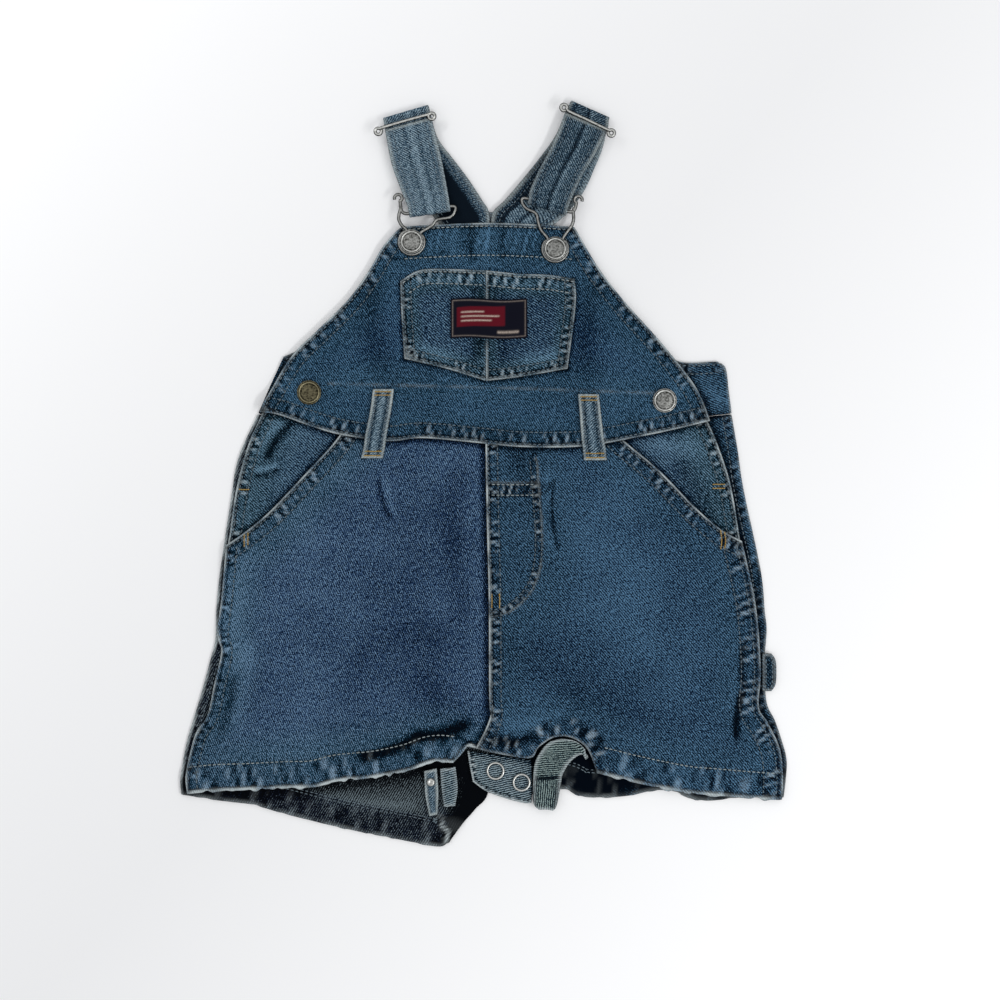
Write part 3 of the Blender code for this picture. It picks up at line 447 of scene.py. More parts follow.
# ---- Layers: the height of each piece's underside over the table ----
FOLDS = [Crease(*fold) for fold in (
    (-64.0, 2.0, -54.0, -30.0, 6.0, 0.9), (-80.0, -172.0, -24.0, -152.0, 8.0, 1.7),
    (-26.0, -128.0, -6.0, -154.0, 7.0, 1.1), (8.0, -155.0, 46.0, -148.0, 6.5, 1.6),
    (20.0, -128.0, 84.0, -112.0, 10.0, 0.9), (-30.0, -104.0, -96.0, -86.0, 12.0, 0.8),
    (46.0, 6.0, 49.0, -54.0, 5.0, 0.6), (146.0, -126.0, 150.0, -162.0, 5.0, -0.7),
    (-8.0, 146.0, -10.0, 124.0, 5.0, 0.6), (14.0, 147.0, 12.0, 124.0, 5.0, 0.5),
    (-100.0, 60.0, -60.0, 40.0, 9.0, 0.6), (104.0, 56.0, 66.0, 38.0, 9.0, 0.6))]


def folds_at(x: np.ndarray, y: np.ndarray) -> np.ndarray:
    """Add up the garment's largest folds."""
    return sum(fold.rise * fold.shape(x, y) for fold in FOLDS)


def flat_at(height: float) -> Height:
    """Return a level layer at one height."""
    return lambda x, y: np.full(x.shape, height)


def bib_under(x: np.ndarray, y: np.ndarray) -> np.ndarray:
    """Underside of the bib: low at its sides, lifted where it laps over the legs."""
    depth = np.minimum(x - edge_x(BIB_LEFT, y), edge_x(BIB_RIGHT, y) - x)
    height = BIB_SIDE_HEIGHT + (BIB_HEIGHT - BIB_SIDE_HEIGHT) * step(0.0, 22.0, depth)
    height = height + np.maximum(folds_at(x, y), 0.0)
    lap = 1.0 - step(SEAM_LAP + 1.0, LAP_REACH, y - edge_y(WAIST, x))
    return height + (BIB_LAP_HEIGHT - height) * lap


def leg_under(x: np.ndarray, y: np.ndarray) -> np.ndarray:
    """Underside of a front leg: down on the back at its side seam, and swelling between."""
    left_side = LEFT_SIDE_SEAM + LEFT_SLANT[1:]
    right_side = RIGHT_SIDE_SEAM + RIGHT_SLANT[1:]
    depth = np.minimum(x - edge_x(left_side, y), edge_x(right_side, y) - x)
    side = np.interp(y, [-178.0, -166.0, -76.0, -56.0],
                     [HEM_WALL + GAP, WALL + GAP, WALL + GAP, LEG_HEIGHT])
    height = side + (LEG_HEIGHT - side) * step(2.0, 24.0, depth)
    inner = step(8.0, 50.0, depth) * step(14.0, 50.0, edge_y(WAIST, x) - y)
    return height + inner * (0.8 + folds_at(x, y))


# ---- Meshes ----
def make(name: str, points: np.ndarray, faces: Sequence[np.ndarray], material: bpy.types.Material, slot: str,
         stands_for: str = "", fields: dict[str, np.ndarray] | None = None,
         weave: np.ndarray | None = None) -> bpy.types.Object:
    """Make a piece at the origin, shaded smooth and riding on the garment.

    Args:
        name: The piece's name.
        points: An array of points in mm.
        faces: Arrays of point numbers, each with one face a row.
        material: The piece's finish.
        slot: The record's material slot; not used.
        stands_for: The solid that it replaces, if any.
        fields: A number for each point, by the field's name.
        weave: The cloth's own coordinates at each point, in mm along its weave.

    Returns:
        The new object.
    """
    corners = np.concatenate([part.ravel() for part in faces])
    sizes = np.concatenate([np.full(len(part), part.shape[1]) for part in faces])
    mesh = bpy.data.meshes.new(name)
    mesh.vertices.add(len(points))
    mesh.vertices.foreach_set("co", (points * MM).astype(np.float32).ravel())
    mesh.loops.add(len(corners))
    mesh.loops.foreach_set("vertex_index", corners.astype(np.int32))
    mesh.polygons.add(len(sizes))
    mesh.polygons.foreach_set("loop_start", (np.cumsum(sizes) - sizes).astype(np.int32))
    mesh.update(calc_edges=True)
    mesh.validate()
    mesh.polygons.foreach_set("use_smooth", np.ones(len(mesh.polygons), dtype=bool))
    mesh.materials.append(material)
    for label, values in (fields or {}).items():
        mesh.attributes.new(label, "FLOAT", "POINT").data.foreach_set("value", values.astype(np.float32))
    if weave is not None:
        numbers = np.zeros(len(mesh.loops), dtype=np.int32)
        mesh.loops.foreach_get("vertex_index", numbers)
        layer = mesh.uv_layers.new(name="weave")
        layer.data.foreach_set("uv", weave[numbers].astype(np.float32).ravel())
    piece = bpy.data.objects.new(name, mesh)
    bpy.context.scene.collection.objects.link(piece)
    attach(piece, "root")
    if stands_for:
        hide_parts(stands_for)
    log.info("%s: %d points", name, len(points))
    return piece


def grid_quads(rows: int, columns: int, wrap: bool = False) -> np.ndarray:
    """Return the quads of a grid of points, rows by columns, facing up.

    Args:
        rows: Points up the grid.
        columns: Points across it.
        wrap: True to join the last column to the first.

    Returns:
        Four point numbers a quad.
    """
    number = np.arange(rows * columns).reshape(rows, columns)
    right = np.roll(number, -1, axis=1)
    last = columns if wrap else columns - 1
    quads = [number[:-1, :last], right[:-1, :last], right[1:, :last], number[1:, :last]]
    return np.stack(quads, axis=-1).reshape(-1, 4)


def fan(centre: int, ring: np.ndarray) -> np.ndarray:
    """Return the triangles from a centre point to each side of a ring of points."""
    return np.stack([np.full(len(ring), centre), ring, np.roll(ring, -1)], axis=1)


def capped(rings: np.ndarray, first: Sequence[float], last: Sequence[float]) -> Mesh:
    """Close a stack of rings with a fan of triangles at each end.

    Args:
        rings: An array of rings by points by x, y and z.
        first: Middle of the first ring's cap.
        last: Middle of the last ring's cap.

    Returns:
        The points, and the arrays of faces.
    """
    count, sides = rings.shape[:2]
    ring = np.arange(sides)
    foot = fan(count * sides + 1, ring + (count - 1) * sides)[:, [0, 2, 1]]
    return (np.vstack([rings.reshape(-1, 3), first, last]),
            [grid_quads(count, sides, wrap=True)[:, ::-1], fan(count * sides, ring), foot])


def boundary(rows: int, columns: int) -> np.ndarray:
    """Return a grid's rim as point numbers, once round anticlockwise."""
    number = np.arange(rows * columns).reshape(rows, columns)
    return np.concatenate([number[0, :-1], number[:-1, -1], number[-1, :0:-1], number[:0:-1, 0]])


def wall(top: np.ndarray, bottom: np.ndarray, bulge: float) -> tuple[np.ndarray, np.ndarray]:
    """Close two grids into a wall of cloth with a rounded rim.

    The rim's own loop lies half way down and is pushed outwards, away from the
    next point in, so that the shaded edge is round.

    Args:
        top: The upper grid of points.
        bottom: The lower grid, of the same size.
        bulge: How far the rim stands out, in mm.

    Returns:
        The points, and the quads.
    """
    rows, columns = top.shape[:2]
    rim = boundary(rows, columns)
    row, column = np.clip(rim // columns, 1, rows - 2), np.clip(rim % columns, 1, columns - 2)
    flat_top, flat_bottom = top.reshape(-1, 3), bottom.reshape(-1, 3)
    middle = (flat_top[rim] + flat_bottom[rim]) / 2
    away = middle - (top[row, column] + bottom[row, column]) / 2
    away /= np.maximum(np.linalg.norm(away, axis=1, keepdims=True), 1e-6)
    points = np.vstack([flat_top, flat_bottom, middle + away * bulge])
    count, faces = rows * columns, grid_quads(rows, columns)
    ring = 2 * count + np.arange(len(rim))
    after, next_rim = np.roll(ring, -1), np.roll(rim, -1)
    over = np.stack([rim, ring, after, next_rim], axis=1)
    under = np.stack([ring, count + rim, count + next_rim, after], axis=1)
    return points, np.vstack([faces, faces[:, ::-1] + count, over, under])


def wall_fields(fields: dict[str, np.ndarray], worn: float, rim_shade: float) -> dict[str, np.ndarray]:
    """Carry a grid's fields over both faces of its wall, and round its rim, which gets a painted shade line.

    Args:
        fields: Each field's grid, by name.
        worn: Share of the edge's wear that its rim keeps; keeping less makes the rim darker, as painted shade.
        rim_shade: Painted shade on the rim: how much darker it is than the edge.

    Returns:
        A number for each of the wall's points, by name.
    """
    full = {}
    for name, values in fields.items():
        flat, edge = values.ravel(), values.ravel()[boundary(*values.shape)]
        # The rim's side keeps less wear and is darker: a painted shadow line along the cloth's cut edge.
        side = {"wear_and_highlight": worn * edge, "tone": edge - rim_shade}.get(name, edge)
        full[name] = np.concatenate([flat, flat, side])
    return full


def tube(path: np.ndarray, radius: float, sides: int = 14, closed: bool = False) -> Mesh:
    """Carry a circle along a level path, as a bent wire.

    Each ring stands square to the path: the centre, plus the radius times the
    cosine along the path's level normal and the sine straight up.

    Args:
        path: The wire's middle, an array of x, y and z.
        radius: Radius of the wire.
        sides: Points round it.
        closed: True for a ring, whose end meets its start.

    Returns:
        The points, and the arrays of faces.
    """
    ahead = np.roll(path, -1, axis=0) - np.roll(path, 1, axis=0) if closed else np.gradient(path, axis=0)
    tangent = ahead[:, :2] / np.linalg.norm(ahead[:, :2], axis=1, keepdims=True)
    normal = np.column_stack([tangent[:, 1], -tangent[:, 0], np.zeros(len(path))])
    turn = np.linspace(0.0, 2 * math.pi, sides, endpoint=False)[None, :, None]
    rings = path[:, None] + radius * (np.cos(turn) * normal[:, None] + np.sin(turn) * np.array([0.0, 0.0, 1.0]))
    if closed:                                   # one more row of quads, whose far side is the first ring
        quads = grid_quads(len(path) + 1, sides, wrap=True)[:, ::-1] % (len(path) * sides)
        return rings.reshape(-1, 3), [quads]
    return capped(rings, path[0], path[-1])


def turned(profile: np.ndarray, place: tuple[float, float, float], steps: int) -> Mesh:
    """Turn a profile of radius and height round an upright axis.

    A point stands at the radius times the cosine and sine of its angle; the
    profile starts and ends on the axis, where fans of triangles close it.

    Args:
        profile: Radius and height, from the top of the axis out and down.
        place: Foot of the axis.
        steps: Points round.

    Returns:
        The points, and the arrays of faces.
    """
    turn = np.linspace(0.0, 2 * math.pi, steps, endpoint=False)[None, :]
    radius, height = profile[1:-1, 0][:, None], profile[1:-1, 1][:, None]
    rings = np.stack([radius * np.cos(turn), radius * np.sin(turn), height + 0.0 * turn], axis=-1)
    points, faces = capped(rings, (0.0, 0.0, profile[0, 1]), (0.0, 0.0, profile[-1, 1]))
    return points + np.array(place), faces


def threads(curves: Sequence[np.ndarray], pitch: float, length: float, radius: float) -> Mesh:
    """Lay stitches end to end along curves, each a short six-sided thread with narrow ends.

    A stitch's point is the stitch's middle, plus its place along the curve, plus
    its ring's radius across and up; the rings' radii swell and shrink along it.

    Args:
        curves: The sewing lines, on the cloth's upper face.
        pitch: From one stitch to the next.
        length: What shows of a stitch.
        radius: The thread's radius.

    Returns:
        The points, and the arrays of faces.
    """
    starts, stops = [], []
    for curve in curves:
        gone = travelled(curve)
        at = np.arange(pitch / 2, gone[-1] - pitch / 4, pitch)
        for ends, shift in ((starts, -length / 2), (stops, length / 2)):
            ends.append(np.column_stack([np.interp(at + shift, gone, column) for column in curve.T]))
    start, stop = np.vstack(starts), np.vstack(stops)
    middle, tangent = (start + stop) / 2, stop - start
    tangent /= np.maximum(np.linalg.norm(tangent, axis=1, keepdims=True), 1e-6)
    across = np.cross([0.0, 0.0, 1.0], tangent)
    across /= np.maximum(np.linalg.norm(across, axis=1, keepdims=True), 1e-6)
    up = np.cross(tangent, across)
    share = np.array([-0.5, -0.3, 0.3, 0.5])[:, None] * length
    swell = np.array([0.35, 1.0, 1.0, 0.35])[:, None] * radius
    dip = np.array([-0.9, 0.0, 0.0, -0.9])[:, None] * radius
    turn = np.linspace(0.0, 2 * math.pi, 6, endpoint=False)[None, :]
    local = np.stack([share + 0.0 * turn, swell * np.cos(turn), dip + swell * np.sin(turn)], axis=-1)
    points = middle[:, None] + np.einsum("pk,nkc->npc", local.reshape(-1, 3),
                                         np.stack([tangent, across, up], axis=1))
    caps = np.array([[3, 2, 1, 0], [5, 4, 3, 0], [18, 19, 20, 21], [18, 21, 22, 23]])
    each = np.vstack([grid_quads(4, 6, wrap=True), caps])
    offsets = (np.arange(len(middle)) * 24)[:, None, None]
    return points.reshape(-1, 3), [(each[None] + offsets).reshape(-1, 4)]


# ---- Materials ----
def linear(value: str) -> tuple[float, float, float, float]:
    """Turn an sRGB hex colour into linear red, green and blue, with a full alpha."""
    parts = [int(value.lstrip("#")[i:i + 2], 16) / 255 for i in (0, 2, 4)]
    return tuple(p / 12.92 if p <= 0.04045 else ((p + 0.055) / 1.055) ** 2.4 for p in parts) + (1.0,)


def plug(tree: bpy.types.NodeTree, target: bpy.types.Node, inputs: dict) -> None:
    """Link or set a node's inputs.

    Args:
        tree: The node tree.
        target: The node.
        inputs: For each input, by name or number, an output socket or a plain value.
    """
    for key, value in inputs.items():
        if isinstance(value, bpy.types.NodeSocket):
            tree.links.new(value, target.inputs[key])
        else:
            target.inputs[key].default_value = value


def node(tree: bpy.types.NodeTree, kind: str, inputs: dict | None = None, out: int | str = 0,
         **settings) -> bpy.types.NodeSocket:
    """Add a node, set it and link its inputs.

    Args:
        tree: The node tree.
        kind: The node's type name, without its ShaderNode prefix.
        inputs: What plug() takes.
        out: The output to return, by name or number.
        settings: The node's own properties.

    Returns:
        That output.
    """
    new = tree.nodes.new("ShaderNode" + kind)
    for name, value in settings.items():
        setattr(new, name, value)
    plug(tree, new, inputs or {})
    return new.outputs[out]


def blank(name: str) -> tuple[bpy.types.Material, bpy.types.NodeTree, bpy.types.Node]:
    """Return a new material, its tree and its Principled shader."""
    material = bpy.data.materials.new(name)
    material.use_nodes = True
    return material, material.node_tree, material.node_tree.nodes["Principled BSDF"]


def wave_scale(spacing: float) -> float:
    """Return the wave texture's scale for lines a given number of mm apart: it draws one each pi / 10."""
    return 2 * math.pi / (20.0 * spacing)


@dataclass(frozen=True)
class Denim:
    """Washed indigo denim: a cotton twill of blue warp over pale weft.

    The blue comes off first where the cloth stands proud, so edges and puckers
    are pale; between them the slanted lines of the twill carry pale specks.

    Attributes:
        name: The finish's name.
        deep: Unworn warp.
        mid: The cloth's usual blue.
        edge: Its blue near seams, where the wash has turned it greener.
        pale: Specks where the weft shows.
        worn: Rubbed edges.
        lean: Slant of the twill lines, in degrees.
        twill: Spacing of the twill lines in mm; real lines are about 0.9 mm apart,
            and are drawn a little wider so that they show.
        contrast: How strongly the lines and specks stand out.
        ribbed: How much of that is lines rather than specks.
    """

    name: str
    deep: str = "#01060f"
    mid: str = "#051b36"
    edge: str = "#0b2538"
    pale: str = "#587e9c"
    worn: str = "#b9c3c5"
    lean: float = -40.0
    twill: float = 1.3
    contrast: float = 1.0
    ribbed: float = 0.19

    @cache
    def material(self) -> bpy.types.Material:
        """Build the nodes: twill lines and specks, blotches, tone (the cloth's lightness with its painted light
        and shade), worn edges and bump.
        """
        material, tree, shader = blank(self.name)
        weave = node(tree, "UVMap", uv_map="weave")
        leant = node(tree, "Mapping", {"Vector": weave, "Rotation": (0.0, 0.0, math.radians(self.lean))})
        drawn = node(tree, "Mapping", {"Vector": leant, "Scale": (1.0, 0.32, 1.0)})
        lines = node(tree, "TexWave", {"Vector": leant, "Scale": wave_scale(self.twill), "Distortion": 3.4,
                                       "Detail": 2.0, "Detail Scale": 0.6, "Detail Roughness": 0.6},
                     "Fac", bands_direction="X")
        slub, speck, cloud = (
            node(tree, "TexNoise", {"Vector": place, "Scale": scale, "Detail": detail, "Roughness": rough})
            for place, scale, detail, rough in ((drawn, 1.3, 2.0, 0.75), (weave, 1.45, 1.0, 0.8),
                                                (weave, 0.035, 4.0, 0.55)))
        tone, tint, wear_and_highlight = (node(tree, "Attribute", out="Fac", attribute_name=field)
                            for field in ("tone", "tint", "wear_and_highlight"))
        yarn, level = -0.74 - 0.5 * self.ribbed, 0.36
        for pattern, strength in ((lines, self.ribbed), (slub, 0.62), (speck, 0.86)):
            yarn = node(tree, "Math", {0: pattern, 1: strength, 2: yarn}, operation="MULTIPLY_ADD")
        for pattern, strength in ((yarn, 2.7 * self.contrast), (tone, 0.36), (cloud, 0.30)):
            level = node(tree, "Math", {0: pattern, 1: strength, 2: level}, operation="MULTIPLY_ADD")
        lower, upper = (node(tree, "MapRange", {"Value": level, "From Min": low, "From Max": high})
                        for low, high in ((0.16, 0.5), (0.5, 0.92)))
        rubbed = node(tree, "Math", {0: yarn, 1: 1.5, 2: 0.95}, operation="MULTIPLY_ADD")
        rubbed = node(tree, "Math", {0: wear_and_highlight, 1: rubbed}, operation="MULTIPLY", use_clamp=True)
        blue = node(tree, "Mix", {0: tint, 6: linear(self.mid), 7: linear(self.edge)}, 2, data_type="RGBA")
        colour = linear(self.deep)
        for share, onward in ((lower, blue), (upper, linear(self.pale)), (rubbed, linear(self.worn))):
            colour = node(tree, "Mix", {0: share, 6: colour, 7: onward}, 2, data_type="RGBA")
        bump = node(tree, "Bump", {"Height": yarn, "Strength": 0.5, "Distance": 0.0005})
        plug(tree, shader, {"Base Color": colour, "Normal": bump, "Roughness": 0.9, "Specular IOR Level": 0.04})
        return material


@dataclass(frozen=True)
class SpunThread:
    """Cotton-wrapped sewing thread, a little uneven in its dye and dull.

    Attributes:
        name: The finish's name.
        colour: The thread.
        faded: The thread where it has been rubbed.
        stitch: Its stitches' pitch, the length that shows of one, and the thread's radius.
    """

    name: str
    colour: str
    faded: str
    stitch: tuple[float, float, float]

    @cache
    def material(self) -> bpy.types.Material:
        """Build the nodes: a fade that wanders from stitch to stitch."""
        material, tree, shader = blank(self.name)
        fade = node(tree, "TexNoise",
                    {"Vector": node(tree, "TexCoord", out="Object"), "Scale": 260.0, "Detail": 2.0})
        mix = node(tree, "Mix", {0: fade, 6: linear(self.colour), 7: linear(self.faded)}, 2, data_type="RGBA")
        plug(tree, shader, {"Base Color": mix, "Roughness": 0.8, "Specular IOR Level": 0.1})
        return material


@dataclass(frozen=True)
class PlatedMetal:
    """Nickel-plated steel or brass: bright where it is rubbed and where a highlight is painted on, grey-brown in
    its grooves.

    Attributes:
        name: The finish's name.
        bright: The plating.
        tarnish: What has settled in the grooves.
        roughness: Of the plating.
    """

    name: str
    bright: str = "#c6c7c3"
    tarnish: str = "#191914"
    roughness: float = 0.28

    @cache
    def material(self) -> bpy.types.Material:
        """Build the nodes: tarnish by the wear_and_highlight field, which holds rubbed plating and painted
        highlights, and by a fine cloud, with tiny dents.
        """
        material, tree, shader = blank(self.name)
        place = node(tree, "TexCoord", out="Object")
        cloud = node(tree, "TexNoise", {"Vector": place, "Scale": 900.0, "Detail": 2.0, "Roughness": 0.6})
        # Rubbed plating and painted highlight: bright where this field is high, tarnished where it is low.
        wear_and_highlight = node(tree, "Attribute", out="Fac", attribute_name="wear_and_highlight")
        level = node(tree, "Math", {0: cloud, 1: 1.5, 2: -0.75}, operation="MULTIPLY_ADD")
        level = node(tree, "Math", {0: wear_and_highlight, 1: level}, operation="ADD", use_clamp=True)
        mix = node(tree, "Mix", {0: level, 6: linear(self.tarnish), 7: linear(self.bright)}, 2, data_type="RGBA")
        rough = node(tree, "MapRange",
                     {"Value": level, "To Min": self.roughness + 0.25, "To Max": self.roughness})
        dents = node(tree, "TexNoise", {"Vector": place, "Scale": 1500.0, "Detail": 2.0})
        bump = node(tree, "Bump", {"Height": dents, "Strength": 0.25, "Distance": 0.0002})
        plug(tree, shader, {"Base Color": mix, "Roughness": rough, "Normal": bump, "Metallic": 1.0})
        return material


@dataclass(frozen=True)
class WovenLabel:
    """Damask label: navy satin ground with a dark red panel and plain cream lines.

    Attributes:
        name: The finish's name.
        ground: The satin.
        panel: The red field.
        line: The cream lines.
        weave: Spacing of the weft ribs in mm, drawn wider than the real 0.2 mm so that they show.
    """

    name: str = "label_damask"
    ground: str = "#070817"
    panel: str = "#5a0a1a"
    line: str = "#c9b9ab"
    weave: float = 0.55

    def material(self) -> bpy.types.Material:
        """Build the nodes: the panel and lines by their fields, over fine weft ribs."""
        material, tree, shader = blank(self.name)
        weave = node(tree, "UVMap", uv_map="weave")
        ribs = node(tree, "TexWave", {"Vector": weave, "Scale": wave_scale(self.weave), "Distortion": 0.8,
                                      "Detail": 1.0}, "Fac", bands_direction="Y")
        red, cream = (node(tree, "Attribute", out="Fac", attribute_name=field) for field in ("panel", "line"))
        worn = node(tree, "TexNoise", {"Vector": weave, "Scale": 1.3, "Detail": 3.0})
        broken = node(tree, "Math", {0: worn, 1: 1.6}, operation="MULTIPLY", use_clamp=True)
        cream = node(tree, "Math", {0: cream, 1: broken}, operation="MULTIPLY")
        base = node(tree, "Mix", {0: red, 6: linear(self.ground), 7: linear(self.panel)}, 2, data_type="RGBA")
        base = node(tree, "Mix", {0: cream, 6: base, 7: linear(self.line)}, 2, data_type="RGBA")
        bump = node(tree, "Bump", {"Height": ribs, "Strength": 0.3, "Distance": 0.0002})
        plug(tree, shader, {"Base Color": base, "Normal": bump, "Roughness": 0.6, "Specular IOR Level": 0.08})
        return material


LEFT_LEG = Denim("denim_left_leg", mid="#193256", edge="#15394e", pale="#7292ae", lean=-25.0, twill=1.2,
                 contrast=0.9)
RIGHT_LEG = Denim("denim_right_leg")
BIB = Denim("denim_bib", mid="#082443", edge="#102f42", lean=-33.0, twill=1.2, contrast=0.95)
POCKET = Denim("denim_pocket", mid="#102c4a", edge="#1d3b49", pale="#7194ac", lean=-52.0)
WRONG_SIDE = Denim("denim_wrong_side", deep="#04060a", mid="#0e1318", edge="#0d182f", pale="#68757b", ribbed=0.3,
                   lean=38.0, contrast=1.1)
BACK = Denim("denim_back", mid="#0e2338", edge="#142b3c", lean=-62.0, contrast=0.95)
FACING = Denim("denim_facing", mid="#0f2a45", edge="#183642", pale="#6c8da4", lean=-44.0)
STRAP = Denim("denim_strap", deep="#0b141d", mid="#2c465c", edge="#365060", pale="#93a9b5", worn="#b4bdbc",
              lean=48.0, twill=1.2, contrast=0.85)
PLACKET = Denim("denim_placket", mid="#203c50", edge="#324a55", pale="#8fa1a8", ribbed=0.4, lean=78.0,
                contrast=1.1)
RIB = Denim("denim_binding", deep="#050b12", mid="#30464f", edge="#30464f", pale="#93a5a1", ribbed=0.38,
            lean=4.0, twill=1.25)
NICKEL = PlatedMetal("nickel_plate_rubbed")
PEWTER = PlatedMetal("nickel_plate_dark", bright="#9b9c99", tarnish="#0a0a09")
BRASS = PlatedMetal("brass_plate_worn", bright="#8a8368", tarnish="#0f0d08")
THREADS = {Thread.TONAL: SpunThread("thread_blue_grey", "#2a3b49", "#8d9ca3", (2.9, 2.2, 0.30)),
           Thread.PALE: SpunThread("thread_pale_grey", "#5b6b74", "#b8c1bf", (2.9, 2.3, 0.34)),
           Thread.GOLD: SpunThread("thread_gold", "#7a6034", "#c2a565", (1.3, 1.5, 0.42))}


# ---- Cloth ----
def sew(name: str, rows: Sequence[tuple[np.ndarray, Thread]], slot: str) -> list[bpy.types.Object]:
    """Make a piece's stitches, one object for each thread used.

    Args:
        name: The cloth piece's name.
        rows: Curves on the cloth's upper face, each with its thread.
        slot: The record's slot of the cloth.

    Returns:
        The stitch objects.
    """
    made = []
    for thread, spun in THREADS.items():
        curves = [curve for curve, used in rows if used is thread and len(curve) > 1]
        if curves:
            made.append(make(f"{name}_{thread.value}", *threads(curves, *spun.stitch), spun.material(), slot))
    return made


@dataclass
class Panel:
    """A cut panel of cloth, stretched between four measured edges.

    Attributes:
        node: The solid that it stands for.
        slot: The record's material slot.
        finish: Its denim.
        edges: Runs of its lower and upper edges, left to right, and of its left and right ones, upwards.
        under: Height of its underside.
        bands: Its hems and seams.
        creases: Its creases.
        bars: Its bar tacks, in gold thread.
        painted_shadows: Edges that lie over the panel and throw a painted shadow on it, each with how far the
            painted shadow reaches beside the edge, and how dark it is.
        rests_on: Nodes or pieces under it; not used.
        thick: Thickness of one layer.
        cell: Size of a grid square.
        grain: Turn of the cloth's weave from the table's x, in degrees.
        tint_reach: How far from its bands the greener blue reaches.
        tone: Lightness over the whole panel.
        allowance: Its cut's area over what shows of it, for what is turned under; not used.
        hem_sway: How far a hem's edge wanders up and down.
    """

    node: str
    slot: str
    finish: Denim
    edges: tuple[Sequence[Table], ...]
    under: Height
    bands: tuple[Band, ...]
    creases: tuple[Crease, ...] = ()
    bars: tuple[Table, ...] = ()
    painted_shadows: tuple[tuple[Table, float, float], ...] = ()
    rests_on: tuple[str, ...] = ("floor",)
    thick: float = WALL
    cell: float = 1.1
    grain: float = 0.0
    tint_reach: float = 26.0
    tone: float = 0.0
    allowance: float = 1.08
    hem_sway: float = 1.0

    def layers(self, x: np.ndarray, y: np.ndarray) -> tuple[np.ndarray, ...]:
        """Add up the panel's seams and creases at points.

        Args:
            x: Points' x.
            y: Points' y.

        Returns:
            Relief in mm, wear, tone with its painted light and shade, and tint towards the greener blue.
        """
        relief = 0.10 * (np.sin(x / 6.1 + 0.8 * np.sin(y / 9.0)) * np.sin(y / 7.3 + 0.9 * np.sin(x / 11.0)))
        wear_and_highlight, tone, tint = np.zeros(x.shape), np.full(x.shape, self.tone), np.zeros(x.shape)
        for band in self.bands:
            # Each band's tone carries its painted shade in troughs, grooves and beside its edge.
            rise, rubbed, band_tone, away = band.layers(x, y)
            relief, wear_and_highlight, tone = relief + rise, np.maximum(wear_and_highlight, rubbed), tone + band_tone
            tint = np.maximum(tint, 1.0 - step(band.width, band.width + self.tint_reach, np.abs(away)))
        for crease in self.creases:
            shape = crease.shape(x, y)
            relief, tone = relief + crease.rise * shape, tone + crease.tone * shape
        # Painted shade in the bar tacks' grooves.
        for path in self.bars:
            groove = bell(beside(path, x, y)[1], 0.0, GROOVE)
            relief, tone = relief - 0.25 * groove, tone - 0.4 * groove
        # Painted shadow: the cloth is darkened beside each edge that lies over it.
        for path, reach, depth in self.painted_shadows:
            tone = tone - depth * bell(beside(path, x, y)[1], 0.0, reach)
        return relief, wear_and_highlight, tone, tint

    def surface(self, plan: np.ndarray) -> np.ndarray:
        """Lift points in plan onto the panel's upper face."""
        x, y = plan[:, 0], plan[:, 1]
        return np.column_stack([x, y, self.under(x, y) + self.thick + self.layers(x, y)[0]])

    def build(self) -> None:
        """Build the panel's wall, its fields and its stitches."""
        plan = stretched(*self.edges, self.cell)
        for band in self.bands:
            if band.open_edge:
                along, away = beside(band.path, plan[..., 0], plan[..., 1])
                sway = band.ripple(along, away, 1.0) * bell(away, 0.0, 5.0)
                plan[..., 1] += self.hem_sway * sway * step(0.0, 8.0, along)
        relief, wear_and_highlight, tone, tint = self.layers(plan[..., 0], plan[..., 1])
        base = self.under(plan[..., 0], plan[..., 1])
        low = base + 0.4 * np.minimum(relief, 0.0) + 0.25 * np.maximum(relief - 0.6, 0.0)
        low = np.maximum(low, 0.0) if base.min() > 0.01 else base
        points, faces = wall(np.dstack([plan, base + self.thick + relief]), np.dstack([plan, low]), 0.3)
        cos, sin = math.cos(math.radians(self.grain)), math.sin(math.radians(self.grain))
        piece = make(f"{self.node}_cloth", points, [faces], self.finish.material(), self.slot, self.node,
                     wall_fields({"wear_and_highlight": wear_and_highlight, "tone": tone, "tint": tint}, 0.25, 0.7),
                     points[:, :2] @ np.array([[cos, -sin], [sin, cos]]) + 37.0 * len(self.node))
        outline = plan.reshape(-1, 2)[boundary(*plan.shape[:2])]
        rows = [(self.surface(row[within(row, outline)]), band.thread)
                for band in self.bands for row in band.rows()]
        rows += [(self.surface(smooth(path, 60)), Thread.GOLD) for path in self.bars]
        sew(self.node, rows, self.slot)


def strip_rows(rows: Table, spacing: float) -> np.ndarray:
    """Spread a strip's rows evenly along the smooth curve of their middles.

    Args:
        rows: Left x and y, right x and y, and height, a row each.
        spacing: From row to row, in mm.

    Returns:
        The new rows.
    """
    table = np.array(rows, dtype=float)
    middle = (table[:, :2] + table[:, 2:4]) / 2
    return smooth(np.column_stack([middle, table]), int(travelled(middle)[-1] / spacing) + 2)[:, 2:]


